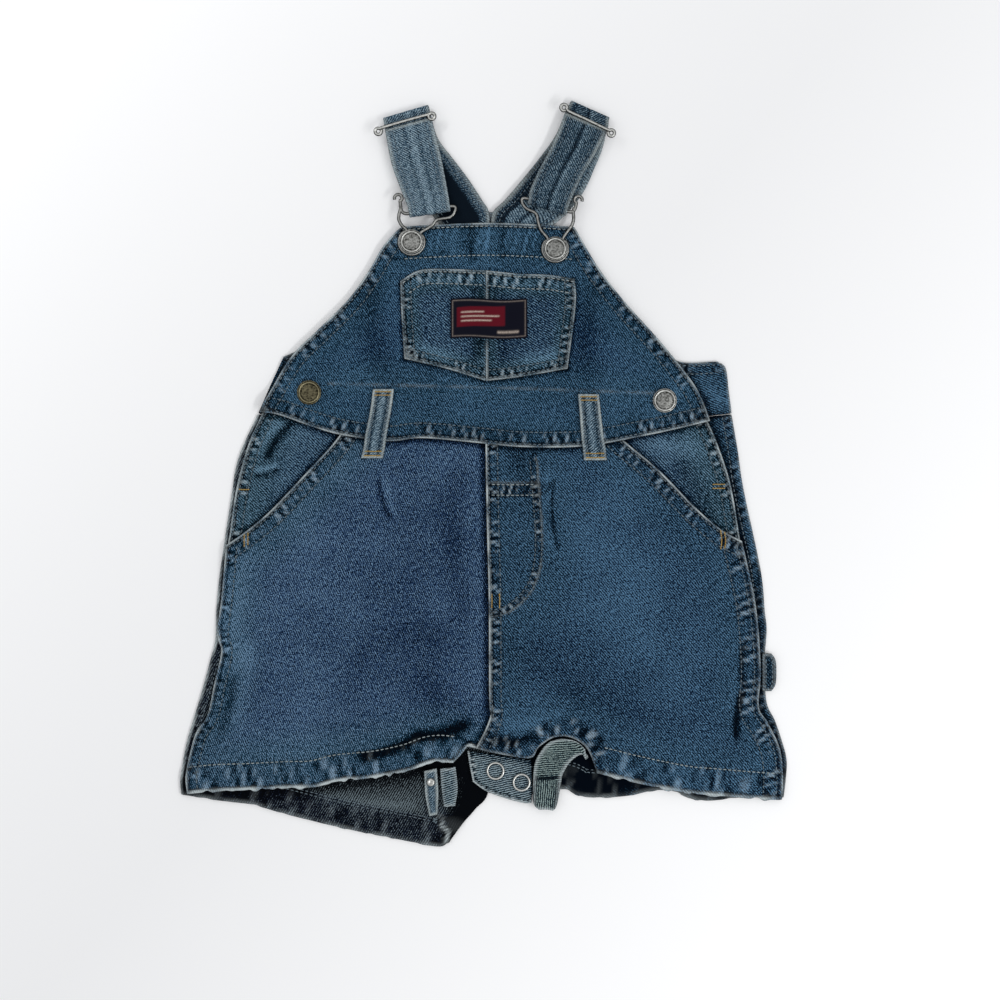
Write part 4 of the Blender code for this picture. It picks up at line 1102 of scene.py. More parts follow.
@dataclass
class Strip:
    """A narrow folded strip of cloth, carried through rows across its length.

    Attributes:
        node: The solid that it stands for.
        slot: The record's material slot.
        finish: Its denim.
        rows: Left x and y, right x and y, and height of its middle, a row each.
        rests_on: Nodes or pieces under it; not used.
        thick: Its thickness.
        crown: How much its middle stands up.
        stitches: Distances of its stitch rows from each edge.
        tone: Lightness.
        wear_and_highlight: Wear along its edges.
        creases: Ridges along it: the place across as a share, the reach, and the height.
        gold: Rows of gold stitches across it, each at a share of its length.
        columns: Grid squares across it.
    """

    node: str
    slot: str
    finish: Denim
    rows: Table
    rests_on: str
    thick: float = TAB_WALL
    crown: float = 0.0
    stitches: tuple[float, ...] = ()
    tone: float = 0.0
    wear_and_highlight: float = 0.75
    creases: tuple[tuple[float, float, float], ...] = ()
    gold: tuple[float, ...] = ()
    columns: int = 26

    def middle(self) -> np.ndarray:
        """Return the rows of the strip's middle surface, finely spaced."""
        return strip_rows(self.rows, 0.7)

    def build(self) -> None:
        """Build the strip: a middle surface, moved out along its normal on both faces.

        A face's point is the middle's point plus the normal times half the
        thickness and the relief, which has grooves along the stitches, ridges
        along the creases and soft gathers along the edges.
        """
        table = self.middle()
        share = np.linspace(0.0, 1.0, self.columns + 1)
        across = share[None, :, None]
        sheet = table[:, None, [0, 1, 4]] * (1 - across) + table[:, None, [2, 3, 4]] * across
        sheet[..., 2] += self.crown * np.sin(math.pi * share)[None]
        width = float(np.linalg.norm(table[:, 2:4] - table[:, :2], axis=1).mean())
        gone, place = np.meshgrid(travelled(sheet[:, self.columns // 2]), share * width, indexing="ij")
        inward, seed = np.minimum(place, width - place), float(table[0, 0])
        groove = sum(bell(inward, offset, 0.6) for offset in self.stitches)
        relief = 0.12 * wander(2.1 * gone, seed) * np.exp(-inward / 3.0) - 0.25 * groove
        # Painted shade in the stitch grooves, plus the strip's own painted light and shade.
        tone = self.tone - 0.4 * groove + self.shading(share[None], gone)
        # A crease's ridge gets a painted highlight and its trough painted shade.
        for at, reach, rise in self.creases:
            ridge = bell(place - 0.2 * wander(0.3 * gone, seed), at * width, reach)
            relief, tone = relief + rise * ridge, tone + 1.6 * max(-0.6, min(rise, 0.6)) * ridge
        wear_and_highlight = bell(inward, 0.4, 1.0) * (0.75 + 0.2 * wander(gone, seed + 1.0))
        wear_and_highlight = self.wear_and_highlight * np.maximum(wear_and_highlight, bell(np.minimum(gone, gone[-1] - gone), 0.4, 0.9))
        normal = np.cross(np.gradient(sheet, axis=1), np.gradient(sheet, axis=0))
        normal /= np.maximum(np.linalg.norm(normal, axis=-1, keepdims=True), 1e-9)
        normal *= np.sign(normal[len(table) // 6 if len(table) > 60 else 0, self.columns // 2, 2])
        upper = sheet + normal * (self.thick / 2 + relief)[..., None]
        points, faces = wall(upper, sheet - normal * (self.thick / 2 + 0.3 * relief)[..., None], 0.35)
        a, b, c = points[faces[0][:3]]
        if np.cross(b - a, c - a)[2] <= 0.0:         # the rows run the other way, so turn every face over
            faces = faces[:, ::-1]
        fields = {name: np.clip(values, -3.0, 2.0)
                  for name, values in (("wear_and_highlight", wear_and_highlight), ("tone", tone), ("tint", np.full(tone.shape, 0.5)))}
        uv = self.weave(np.stack([place, gone], axis=-1), sheet).reshape(-1, 2)
        uv = np.vstack([uv, uv, uv[boundary(*gone.shape)]]) + 11.0 * len(self.node)
        piece = make(f"{self.node}_cloth", points, [faces], self.finish.material(), self.slot, self.node,
                     wall_fields(fields, 0.3, 0.5), uv)
        sewn = [(upper[2:-2, round(column * self.columns)], Thread.TONAL)
                for offset in self.stitches for column in (offset / width, 1.0 - offset / width)]
        sewn += [(upper[round(at * (len(upper) - 1)), 2:-2], Thread.GOLD) for at in self.gold]
        sew(self.node, sewn, self.slot)

    def shading(self, share: np.ndarray, gone: np.ndarray) -> np.ndarray:
        """Return the strip's painted light and shade; a plain strip has none.

        Args:
            share: Place across, from 0 to 1.
            gone: Length along, in mm.

        Returns:
            Tone to add, rows by columns.
        """
        return 0.0 * share * gone

    def weave(self, along: np.ndarray, sheet: np.ndarray) -> np.ndarray:
        """Return the cloth's coordinates: across and along the strip.

        Args:
            along: Distance across and along, a pair at each point.
            sheet: The middle surface, for strips whose cloth runs another way.

        Returns:
            A pair at each point, in mm.
        """
        return along


@dataclass
class Strap(Strip):
    """A strap: upper run, turn at the buckle, lower run, turn at the slider, back run.

    Attributes:
        back: Rows of the back run, from the slider to the yoke.
        inner_edge: 1 where the back run's inner edge is its right one, 0 where it is the left.
        back_light_and_shade: Painted light on the back run outside its topstitched inner edge where positive,
            painted shadow where negative.
        edge_band: Width of that edge, as a share of the strap's width.
    """

    back: Table = ()
    inner_edge: float = 1.0
    back_light_and_shade: float = 0.0
    edge_band: float = 0.22

    def shading(self, share: np.ndarray, gone: np.ndarray) -> np.ndarray:
        """Paint light and shade on the back run outside the band along its inner edge, paint a shadow line along
        that band's edge, and darken the whole back run a little.
        """
        behind, inset = step(0.62, 0.64, gone / gone[-1]), np.abs(share - self.inner_edge)
        outside = step(self.edge_band, self.edge_band + 0.05, inset)
        return behind * (self.back_light_and_shade * outside - 0.8 * bell(inset, self.edge_band, 0.03) - 0.4)

    def middle(self) -> np.ndarray:
        """Join the three runs with half turns, each run smooth by itself."""
        under = np.array([*self.rows[::-1], self.back[0]], dtype=float)
        under[:, 4] = LOWER_RUN
        front, lower, back = (strip_rows(rows, 0.9) for rows in (self.rows, under, self.back))
        return np.vstack([front, self.half_turn(front, BUCKLE_RUN, LOWER_RUN), lower,
                          self.half_turn(lower, LOWER_RUN, BACK_RUN), back])

    @staticmethod
    def half_turn(rows: np.ndarray, high: float, low: float) -> np.ndarray:
        """Carry the last row half way round a circle square to it, from one height to another.

        Args:
            rows: The run that ends at the turn.
            high: Height at the turn's start.
            low: Height at its end.

        Returns:
            The turn's rows.
        """
        last, onward = rows[-1], rows[-1, :2] + rows[-1, 2:4] - rows[-4, :2] - rows[-4, 2:4]
        across = last[2:4] - last[:2]
        square = np.array([across[1], -across[0]]) / np.linalg.norm(across)
        square *= np.sign(square @ onward)
        angle = np.linspace(0.0, math.pi, 10)[1:-1, None]
        push = square[None] * abs(high - low) / 2 * np.sin(angle)
        height = (high + low) / 2 + (high - low) / 2 * np.cos(angle)
        return np.hstack([last[None, :2] + push, last[None, 2:4] + push, height])


@dataclass
class Binding(Strip):
    """The folded end of the inseam binding: a rolled barrel, then a flat arch above its fold.

    Attributes:
        fold_y: Where the barrel starts.
        fold_at: How far along the strip the fold is, at its left edge.
    """

    fold_y: float = -182.0
    fold_at: float = 17.4

    def shading(self, share: np.ndarray, gone: np.ndarray) -> np.ndarray:
        """Paint shade into the fold above the barrel and onto the barrel's rounded sides, and darken the strip
        towards its right edge.
        """
        barrel = 1.0 - step(16.0, 18.0, gone)
        return (-2.2 * bell(gone - 3.0 * share, self.fold_at, 1.1)
                - barrel * 1.4 * np.abs(2 * share - 1) ** 3 - 0.5 * share)

    def weave(self, along: np.ndarray, sheet: np.ndarray) -> np.ndarray:
        """Run the ribs level on the arch and upright on the barrel."""
        x, y = sheet[..., 0], sheet[..., 1]
        below = y + 0.3 * (x - 38.0) < self.fold_y
        return np.stack([np.where(below, x, y), np.where(below, y, x)], axis=-1)


# ---- Sub-assemblies ----
@dataclass
class BackPanels:
    """Back legs and back yoke, flat on the table, wrong side up.

    Attributes:
        hem_depth: How deep the hems are turned.
        cell: Size of a grid square.
        crotch: The line along which the front leg hides the left one's inseam; a painted shadow runs along it.
    """

    hem_depth: float = 16.0
    cell: float = 1.5
    crotch: Table = ((-30.0, -172.0), (-18.0, -172.8), (-10.0, -176.0), (-8.0, -190.0), (-6.0, -200.0))

    def build(self) -> None:
        """Build both back legs and the yoke."""
        hem = dict(side=1.0, width=self.hem_depth, rise=0.6, rope=0.38, edge_wear=0.3, wear_and_highlight=0.08,
                   stitches=(14.6, 16.2), open_edge=True, band_tone=-0.8)
        side = dict(rise=0.25, rope=0.06, wear_and_highlight=0.1)
        turned_corner = ((-32.0, -201.0), (-24.4, -205.6), (-24.8, -211.0), (-20.8, -214.0), (-22.0, -220.0))
        left_waist = [point for point in BACK_WAIST if point[0] <= 2.4]
        right_waist = [(3.0, 24.6)] + [point for point in BACK_WAIST if point[0] > 3.0]
        Panel("back_leg_left", "denim_inside", WRONG_SIDE,
              ([BACK_LEFT_HEM], [left_waist], [BACK_LEFT_SIDE], [BACK_LEFT_INSEAM]), flat_at(0.0),
              bands=(Band(BACK_LEFT_HEM, period=12.5, **hem),
                     Band(BACK_LEFT_SIDE, side=-1.0, width=5.0, stitches=(4.4,), **side),
                     Band(turned_corner, side=-1.0, width=3.0, rise=0.5, rope=0.3, period=5.0, wear_and_highlight=0.2,
                          stitches=())),
              # Crease tones are painted light and shade; the edges listed next throw painted shadows.
              creases=(Crease(-104.0, -190.0, -36.0, -198.0, 5.0, 0.2, 0.9),),
              painted_shadows=((LEFT_HEM, 6.5, 1.6), (self.crotch, 9.0, 2.6), (LEFT_SIDE_SEAM, 1.8, 0.8),
                      (BACK_LEFT_INSEAM[1:4], 9.0, 3.0), (BACK_LEFT_INSEAM[:2], 5.0, 2.6),
                      (BACK_WAIST, 1.5, 0.8)),
              cell=self.cell, tone=-0.1, tint_reach=2.0, hem_sway=0.3, grain=8.0).build()
        Panel("back_leg_right", "denim_inside", BACK,
              ([BACK_RIGHT_HEM], [right_waist], [BACK_RIGHT_INSEAM], [BACK_RIGHT_SIDE]), flat_at(0.0),
              bands=(Band(BACK_RIGHT_HEM, period=11.0, **hem),
                     Band(BACK_RIGHT_SIDE, side=1.0, width=6.0, edge_wear=0.3, stitches=(5.4,), **side)),
              # Crease tones are painted light and shade; the edges listed next throw painted shadows, deepest in
              # the crotch.
              creases=(Crease(158.0, -100.0, 150.0, 20.0, 4.0, 0.4, 0.5),
                       Crease(163.0, -90.0, 157.0, -10.0, 2.0, -0.3, -0.6)),
              painted_shadows=((RIGHT_HEM, 4.5, 1.4), (RIGHT_INSEAM, 12.0, 2.4), (RIGHT_SIDE_SEAM, 2.6, 1.3),
                      (FACING_RIGHT_OUTER, 3.4, 1.4), (BACK_WAIST, 1.6, 1.2),
                      (((44.0, -178.0), (56.0, -174.0), (70.0, -182.0)), 11.0, 3.0)),
              cell=self.cell, tone=-0.1, hem_sway=0.3, grain=-6.0).build()
        waist = [YOKE_LEFT[0], *BACK_WAIST[1:-1], YOKE_RIGHT[0]]
        Panel("back_yoke", "denim_inside", BACK, ([waist], [YOKE_TOP], [YOKE_LEFT], [YOKE_RIGHT]), flat_at(0.0),
              bands=(Band(YOKE_TOP, side=-1.0, width=7.0, rope=0.1, wear_and_highlight=0.15, edge_wear=0.45,
                          stitches=(1.8, 6.6)),
                     Band(YOKE_RIGHT, width=2.0, rise=0.2, rope=0.0, edge_wear=0.4, wear_and_highlight=0.0, stitches=())),
              # Crease tones are painted light and shade; the bib's edges throw painted shadows on the yoke.
              creases=(Crease(118.0, 60.0, 146.0, 44.0, 4.0, 0.4, 0.4),),
              painted_shadows=((BIB_RIGHT, 3.4, 1.3), (BIB_LEFT, 3.0, 1.2), (BIB_TOP, 5.0, 1.6), (BACK_WAIST, 1.6, 1.2)),
              cell=self.cell, grain=4.0).build()


@dataclass
class PocketFacings:
    """The cloth that shows behind each slanted pocket mouth.

    Attributes:
        seam_width: How wide the side seam is.
    """

    seam_width: float = 7.0

    def build(self) -> None:
        """Build both facings."""
        for name, left, right, outer, slant, side, creases, bars in (
                ("left", FACING_LEFT_OUTER, FACING_LEFT_INNER, FACING_LEFT_OUTER, LEFT_SLANT, -1.0,
                 (Crease(-114.0, 31.0, -130.0, 8.4, 2.3, -0.6, -1.4),
                  Crease(-120.0, 32.0, -136.0, 12.0, 3.0, 0.4, 0.5),
                  Crease(-137.0, -1.2, -122.0, 2.5, 1.6, -0.4, -0.8),
                  Crease(-136.0, 2.0, -124.0, 5.5, 1.5, 0.3, 1.0)),
                 (((-146.4, -9.2), (-143.0, -9.4), (-139.2, -9.2)),)),
                ("right", FACING_RIGHT_INNER, FACING_RIGHT_OUTER, FACING_RIGHT_OUTER, RIGHT_SLANT, 1.0,
                 (Crease(104.0, 18.0, 124.0, 14.0, 6.0, 0.4, 0.5),
                  Crease(118.0, 8.0, 136.0, -20.0, 7.0, -0.3, -0.4)),
                 (((137.4, -6.2), (142.0, -6.2), (146.0, -6.2)), ((137.4, -8.6), (142.0, -8.6), (146.0, -8.6))))):
            bottom, top = ([left[i], ((left[i][0] + right[i][0]) / 2, (left[i][1] + right[i][1]) / 2), right[i]]
                           for i in (0, -1))
            seam = Band(outer, side=side, width=self.seam_width, rope=0.2, wear_and_highlight=0.4, stitches=(1.8, 6.8))
            Panel(f"pocket_facing_{name}", "denim_inside", FACING, ([bottom], [top], [left], [right]),
                  # The last tuple is painted shadows beside the slant and the waist; crease tones are painted
                  # light and shade.
                  flat_at(WALL + GAP), (seam,), creases, bars, ((slant, 2.6, 1.1), (WAIST, 2.4, 1.3)),
                  rests_on=(f"back_leg_{name}",)).build()


@dataclass
class FrontLegs:
    """Both front legs, each with a turned hem, a slanted pocket mouth and its seams.

    Attributes:
        hem_depth: How deep the hems are turned.
        seam_half_gap: Half the gap between the legs' centre edges.
    """

    hem_depth: float = 17.0
    seam_half_gap: float = 0.3

    def build(self) -> None:
        """Build the left leg, and the right one with the mock fly."""
        lapped = [(x, y + SEAM_LAP) for x, y in WAIST]
        left_top = [LEFT_SLANT[-1]] + [point for point in lapped if -70.0 < point[0] < -10.0] + [(0.9, 24.0)]
        right_top = [(1.5, 24.0)] + [point for point in lapped if 10.0 < point[0] < 70.0] + [RIGHT_SLANT[-1]]
        left_centre, right_centre = ([(x + gap, y) for x, y in CENTRE_SEAM]
                                     for gap in (-self.seam_half_gap, self.seam_half_gap))
        hem = dict(width=self.hem_depth, rise=0.8, rope=0.6, wear_and_highlight=0.15, stitches=(15.8,), open_edge=True,
                   thread=Thread.PALE)
        slant = dict(width=9.6, rise=0.45, period=5.6, stitches=(1.8, 8.9), band_tone=-0.2)
        Panel("front_leg_left", "washed_denim", LEFT_LEG,
              ([LEFT_HEM], [left_top], [LEFT_SIDE_SEAM, LEFT_SLANT],
               [LEFT_INSEAM[:-1] + [left_centre[0]], left_centre]),
              leg_under,
              bands=(Band(LEFT_HEM, period=10.5, edge_wear=1.2, **hem), Band(LEFT_SLANT, side=-1.0, **slant),
                     Band(LEFT_INSEAM, width=3.0, rise=0.2, rope=0.0, wear_and_highlight=0.0, stitches=()),
                     Band(LEFT_SIDE_SEAM, side=-1.0, width=7.0, rope=0.08, wear_and_highlight=0.1, stitches=(6.4,))),
              # Crease tones are painted light and shade; those with no rise are broad painted patches.
              creases=(Crease(-62.6, -1.0, -54.6, -28.0, 1.5, -0.5, -0.9),
                       Crease(-59.4, 0.0, -51.6, -26.0, 2.2, 0.2, 0.3),
                       Crease(-150.0, -150.0, -140.0, -100.0, 4.0, 0.5, 0.3),
                       Crease(-160.0, -160.0, -150.0, -120.0, 3.0, -0.6, -0.5),
                       Crease(-76.0, -170.0, -36.0, -155.0, 3.0, -1.2, -2.0),
                       Crease(-40.0, -157.0, -8.0, -149.0, 3.4, -1.2, -2.0),
                       Crease(-150.0, -60.0, -146.0, -110.0, 9.0, 0.2, 0.35),
                       Crease(-40.0, -40.0, -60.0, -120.0, 30.0, 0.0, -0.25),
                       Crease(-30.0, -96.0, -20.0, -146.0, 14.0, 0.0, -0.35),
                       Crease(-14.0, 10.0, -10.0, -90.0, 8.0, 0.0, -0.35)),
              bars=(((-142.8, -36.0), (-142.8, -40.0), (-142.8, -44.4)),
                    ((-140.6, -35.0), (-140.6, -39.0), (-140.6, -43.4))),
              # Painted shadows under the bib's edge and beside the centre seam.
              painted_shadows=((WAIST, 2.6, 1.3), (CENTRE_SEAM, 2.8, 1.4)),
              rests_on=("back_leg_left", "pocket_facing_left")).build()
        inseam = [right_centre[0]] + RIGHT_INSEAM[1:]
        fly_top = ((4.8, -5.0), (18.0, -5.2), (32.4, -5.0))
        Panel("front_leg_right", "washed_denim", RIGHT_LEG,
              ([inseam, RIGHT_HEM], [right_top], [right_centre], [RIGHT_SIDE_SEAM, RIGHT_SLANT]), leg_under,
              bands=(Band(RIGHT_HEM, period=15.0, edge_wear=0.75, band_tone=0.05, **hem), Band(RIGHT_SLANT, **slant),
                     Band(right_centre, side=-1.0, width=7.6, rise=0.4, rope=0.18, period=6.5, edge_wear=1.3,
                          wear_and_highlight=0.35,
                          stitches=(1.6, 7.0)),
                     Band(inseam, width=12.0, rise=0.4, rope=0.5, period=9.0, edge_wear=0.5, stitches=(),
                          band_tone=-0.25),
                     Band(FLY_CURVE, side=-1.0, width=4.6, rise=0.25, rope=0.2, period=5.0, edge_wear=0.12,
                          wear_and_highlight=0.45,
                          stitches=(0.4, 4.2), band_tone=-0.3),
                     Band(fly_top, side=-1.0, rise=0.2, rope=0.2, period=4.0, edge_wear=0.15, wear_and_highlight=0.5,
                          stitches=(1.3, 7.6), band_tone=-0.4, thread=Thread.PALE),
                     Band(RIGHT_SIDE_SEAM, width=12.0, rope=0.12, edge_wear=0.55, stitches=(3.6, 11.4))),
              # Crease tones are painted light and shade; those with no rise are broad painted patches.
              creases=(Crease(156.0, -128.4, 151.8, -160.2, 2.0, -0.9, -1.8),
                       Crease(156.6, -100.0, 156.6, -130.0, 2.0, -0.4, -0.9),
                       Crease(43.5, 4.0, 46.5, -52.0, 0.9, -0.3, -0.9),
                       Crease(39.5, 6.0, 41.5, -50.0, 2.6, 0.25, 0.35),
                       Crease(12.0, -150.0, 48.0, -143.0, 4.0, 0.6, 0.4),
                       Crease(6.0, -160.0, 30.0, -157.0, 3.0, -0.5, -0.9),
                       Crease(66.0, -20.0, 100.0, -90.0, 26.0, 0.0, 0.3),
                       Crease(20.0, 14.0, 40.0, -30.0, 7.0, 0.0, -0.45),
                       Crease(20.0, -100.0, 90.0, -140.0, 14.0, 0.0, -0.25)),
              bars=(((5.2, -71.4), (5.4, -76.0), (5.2, -80.4)), ((9.8, -71.4), (10.0, -76.0), (9.8, -80.4)),
                    ((142.2, -33.6), (142.8, -40.0), (142.2, -45.6)),
                    ((144.6, -34.6), (145.2, -40.0), (144.6, -44.6))),
              # Painted shadow under the bib's edge.
              painted_shadows=((WAIST, 2.6, 1.3),), rests_on=("back_leg_right", "pocket_facing_right")).build()


@dataclass
class Bib:
    """The front bib with its pocket, its woven label left bare of words, and its belt loops.

    Attributes:
        hem_depth: How deep the bib's top hem is turned.
        label_left, label_right, label_bottom, label_top: The label's edges.
        label_turned: Cloth turned under at the label's top and bottom, in all; not used.
        label_cell: Size of a square of the label's grid.
    """

    hem_depth: float = 20.0
    label_left: float = -19.2
    label_right: float = 26.4
    label_bottom: float = 81.0
    label_top: float = 104.4
    label_turned: float = 8.0
    label_cell: float = 0.55

    def build(self) -> None:
        """Build the bib, pocket halves, label and belt loops."""
        side = dict(width=8.0, rise=0.35, rope=0.2, period=6.5, wear_and_highlight=0.25, stitches=(1.8, 7.8))
        pressed_line = [(-92.0, 54.0), (10.0, 51.5), (112.0, 48.0)]
        Panel("front_bib", "washed_denim", BIB, ([WAIST], [BIB_TOP], [BIB_LEFT], [BIB_RIGHT]), bib_under,
              bands=(Band(WAIST, width=9.4, rise=0.45, rope=0.3, period=6.4, stitches=(1.6, 8.8), band_tone=-0.25),
                     Band(BIB_LEFT, side=-1.0, **side), Band(BIB_RIGHT, **side),
                     Band(BIB_TOP, side=-1.0, width=self.hem_depth, rope=0.0, wear_and_highlight=0.0,
                          stitches=(1.8, self.hem_depth - 0.8), thread=Thread.PALE),
                     Band(pressed_line, width=1.6, rise=0.12, rope=0.0, edge_wear=0.12, wear_and_highlight=0.0, stitches=())),
              # Crease tones are painted light and shade; those with no rise are broad painted patches.
              creases=(Crease(-16.0, 148.0, -17.0, 130.0, 3.2, 0.5, 0.4),
                       Crease(-6.0, 148.0, -6.0, 128.0, 2.4, -0.3, -0.6),
                       Crease(3.0, 148.0, 2.0, 130.0, 3.0, 0.45, 0.4),
                       Crease(13.0, 148.0, 13.0, 130.0, 2.2, -0.3, -0.55),
                       Crease(-56.0, 146.0, -68.0, 124.0, 6.0, 0.2, 0.5),
                       Crease(60.0, 146.0, 70.0, 124.0, 6.0, 0.2, 0.5),
                       Crease(-118.0, 56.0, -96.0, 30.0, 5.0, 0.5, 0.3),
                       Crease(118.0, 52.0, 98.0, 28.0, 5.0, 0.5, 0.3),
                       Crease(-66.0, 112.0, -60.0, 66.0, 8.0, 0.0, -0.5),
                       Crease(66.0, 112.0, 62.0, 64.0, 8.0, 0.0, -0.5),
                       Crease(-50.0, 46.0, 60.0, 43.0, 8.0, 0.0, 0.05)),
              # Painted shadows beside the pocket's bottom and sides.
              painted_shadows=((POCKET_LEFT_BOTTOM + POCKET_RIGHT_BOTTOM[1:], 1.8, 1.0), (POCKET_LEFT_SIDE, 1.6, 0.8),
                      (POCKET_RIGHT_SIDE, 1.6, 0.8)),
              rests_on=("front_leg_left_cloth", "front_leg_right_cloth", "back_yoke_cloth")).build()
        self.pocket()
        self.label()
        self.loops()

    @staticmethod
    def on_bib(lift: float) -> Height:
        """Return a layer that lies a given height above the bib's upper face."""
        return lambda x, y: bib_under(x, y) + WALL + lift

    def pocket(self) -> None:
        """Build the pocket's halves; the right one's folded edge is the felled seam in the middle."""
        edge = dict(width=6.4, rise=0.25, rope=0.22, period=5.0, edge_wear=0.6, wear_and_highlight=0.45, stitches=(1.6, 6.0))
        for name, bottom, top, outer, seam_end, turn, seam_wear in (
                ("left", POCKET_LEFT_BOTTOM, POCKET_LEFT_TOP, POCKET_LEFT_SIDE, -1, -1.0, 0.1),
                ("right", POCKET_RIGHT_BOTTOM, POCKET_RIGHT_TOP, POCKET_RIGHT_SIDE, 0, 1.0, 0.85)):
            inner = [bottom[seam_end], top[seam_end]]
            sides = ([outer], [inner]) if turn < 0 else ([inner], [outer])
            Panel(f"bib_pocket_{name}", "washed_denim", POCKET, ([bottom], [top], *sides), self.on_bib(GAP),
                  bands=(Band(outer, side=turn, **edge), Band(bottom, **edge),
                         Band(top, side=-1.0, width=9.4, stitches=(1.6, 8.6), rise=0.35, rope=0.2, period=6.0,
                              wear_and_highlight=0.4, edge_wear=0.65, band_tone=0.25, thread=Thread.PALE),
                         Band(inner, side=-turn, width=3.0, rise=0.35, rope=0.0, edge_wear=seam_wear, wear_and_highlight=0.0,
                              stitches=())),
                  # Crease tones are painted light and shade; the flat ones by the middle seam are painted shade.
                  creases=(Crease(-36.0, 76.0, -22.0, 70.0, 4.0, 0.2, 0.6),
                           Crease(26.0, 68.0, 42.0, 72.0, 4.0, 0.2, 0.6),
                           Crease(-5.0, 64.0, -4.0, 116.0, 4.0, 0.0, -0.7),
                           Crease(10.0, 64.0, 8.0, 116.0, 5.0, 0.0, -0.4)),
                  cell=0.9, grain=6.0 * turn, tint_reach=8.0, tone=-0.25, rests_on=("front_bib_cloth",)).build()

    def label(self) -> None:
        """Build the label: a thin woven patch with a plain slanted panel and three lines.

        Its edges rise in a narrow rim, and its face waves as the pocket beneath does.
        The panel is a product of smooth steps across and up, and each line is a bell
        across it, cut off by steps at its ends.
        """
        width, height = self.label_right - self.label_left, self.label_top - self.label_bottom
        u, v = np.meshgrid(np.linspace(0.0, 1.0, round(width / self.label_cell)),
                           np.linspace(0.0, 1.0, round(height / self.label_cell)))
        plan = np.stack([self.label_left + u * width,
                         self.label_bottom + v * height + 0.5 * np.sin(2.2 * math.pi * u)], axis=-1)
        base = self.on_bib(WALL + 2 * GAP + 0.25)(plan[..., 0], plan[..., 1])
        base = base + 0.25 * np.sin(5 * math.pi * u) * np.sin(math.pi * v)
        inset = np.minimum(np.minimum(u, 1 - u) * 45.0, np.minimum(v, 1 - v) * 23.0)
        rise = 0.12 * (1.0 - step(0.6, 1.6, inset)) + 0.1
        points, faces = wall(np.dstack([plan, base + LABEL_WALL + rise]), np.dstack([plan, base]), 0.15)
        slant = v - 0.10 * (u - 0.5)
        panel = (step(0.07, 0.09, u) * (1 - step(0.70, 0.72, u))
                 * step(0.30, 0.33, slant) * (1 - step(0.80, 0.83, slant)))
        lines = sum(bell(slant, at, 0.018) * step(0.12, 0.15, u) * (1 - step(stop, stop + 0.03, u))
                    for at, stop in ((0.46, 0.52), (0.57, 0.62), (0.68, 0.42)))
        bar = bell(v, 0.17, 0.03) * step(0.60, 0.62, u) * (1 - step(0.88, 0.90, u))
        line = np.clip(0.35 * bell(inset, 1.2, 0.28) + lines + 0.8 * bar, 0.0, 1.0)
        piece = make("label_patch", points, [faces], WovenLabel().material(), "woven_label", "label_blank",
                     wall_fields({"panel": panel, "line": line}, 1.0, 0.0), points[:, :2])

    def loops(self) -> None:
        """Build both belt loops, which step down over the bib's lower edge."""
        on_bib = BIB_LAP_HEIGHT + WALL + 2 * GAP + 0.5 + TAB_WALL / 2
        on_leg = LEG_HEIGHT + WALL + 2 * GAP + 0.4 + TAB_WALL / 2
        heights = (on_leg, on_leg + 0.3, on_bib, on_bib, on_bib, on_bib)
        for name, places in (        # left x, right x and y of each row, upwards
                ("left", ((-72.6, -60.0, 9.6), (-71.6, -59.2, 13.4), (-70.6, -58.4, 18.0), (-69.8, -57.6, 24.0),
                          (-67.0, -55.0, 38.0), (-65.4, -53.4, 50.4))),
                ("right", ((60.6, 73.8, 8.4), (60.2, 73.4, 11.2), (59.8, 73.0, 15.6), (59.0, 71.8, 22.0),
                           (58.0, 70.2, 36.0), (57.0, 69.0, 47.4)))):
            rows = [(left, y, right, y, height) for (left, right, y), height in zip(places, heights)]
            Strip(f"belt_loop_{name}", "washed_denim", STRAP, rows, "front_bib_cloth", stitches=(2.4,), tone=-0.2,
                  gold=(0.04, 0.10, 0.92, 0.97),
                  creases=((0.5, 1.6, 0.3), (0.27, 0.7, -0.3), (0.73, 0.7, -0.3))).build()


def arc(centre: tuple[float, float], radius: float, start: float, stop: float, count: int,
        height: float) -> list[tuple[float, float, float]]:
    """Return points along a level arc, with angles in degrees from +X."""
    angles = np.radians(np.linspace(start, stop, count))
    return [(centre[0] + radius * math.cos(a), centre[1] + radius * math.sin(a), height) for a in angles]


def level(height: float, *places: tuple[float, float]) -> list[tuple[float, float, float]]:
    """Lift places in plan to one height."""
    return [(x, y, height) for x, y in places]


@dataclass
class Wire:
    """A bent plated wire.

    Attributes:
        node: The solid that it stands for.
        points: Where its middle goes.
        finish: Its plating.
        radius: Radius of the wire.
    """

    node: str
    points: Sequence[tuple[float, float, float]]
    finish: PlatedMetal = NICKEL
    radius: float = WIRE_RADIUS

    def build(self) -> None:
        """Sweep the wire along a smooth curve through its points; a painted highlight runs along its top and
        painted shade down its sides.
        """
        length = travelled(np.array(self.points)[:, :2])[-1]
        points, faces = tube(smooth(self.points, int(length / 0.6)), self.radius)
        # Painted highlight and shade: the field rises with height round the wire's section.
        lift = (points[:, 2] - points[:, 2].mean()) / self.radius
        make(f"{self.node}_wire", points, faces, self.finish.material(), "nickel_plate", self.node,
             {"wear_and_highlight": np.clip(2.8 * lift - 1.8, -0.4, 1.0)})


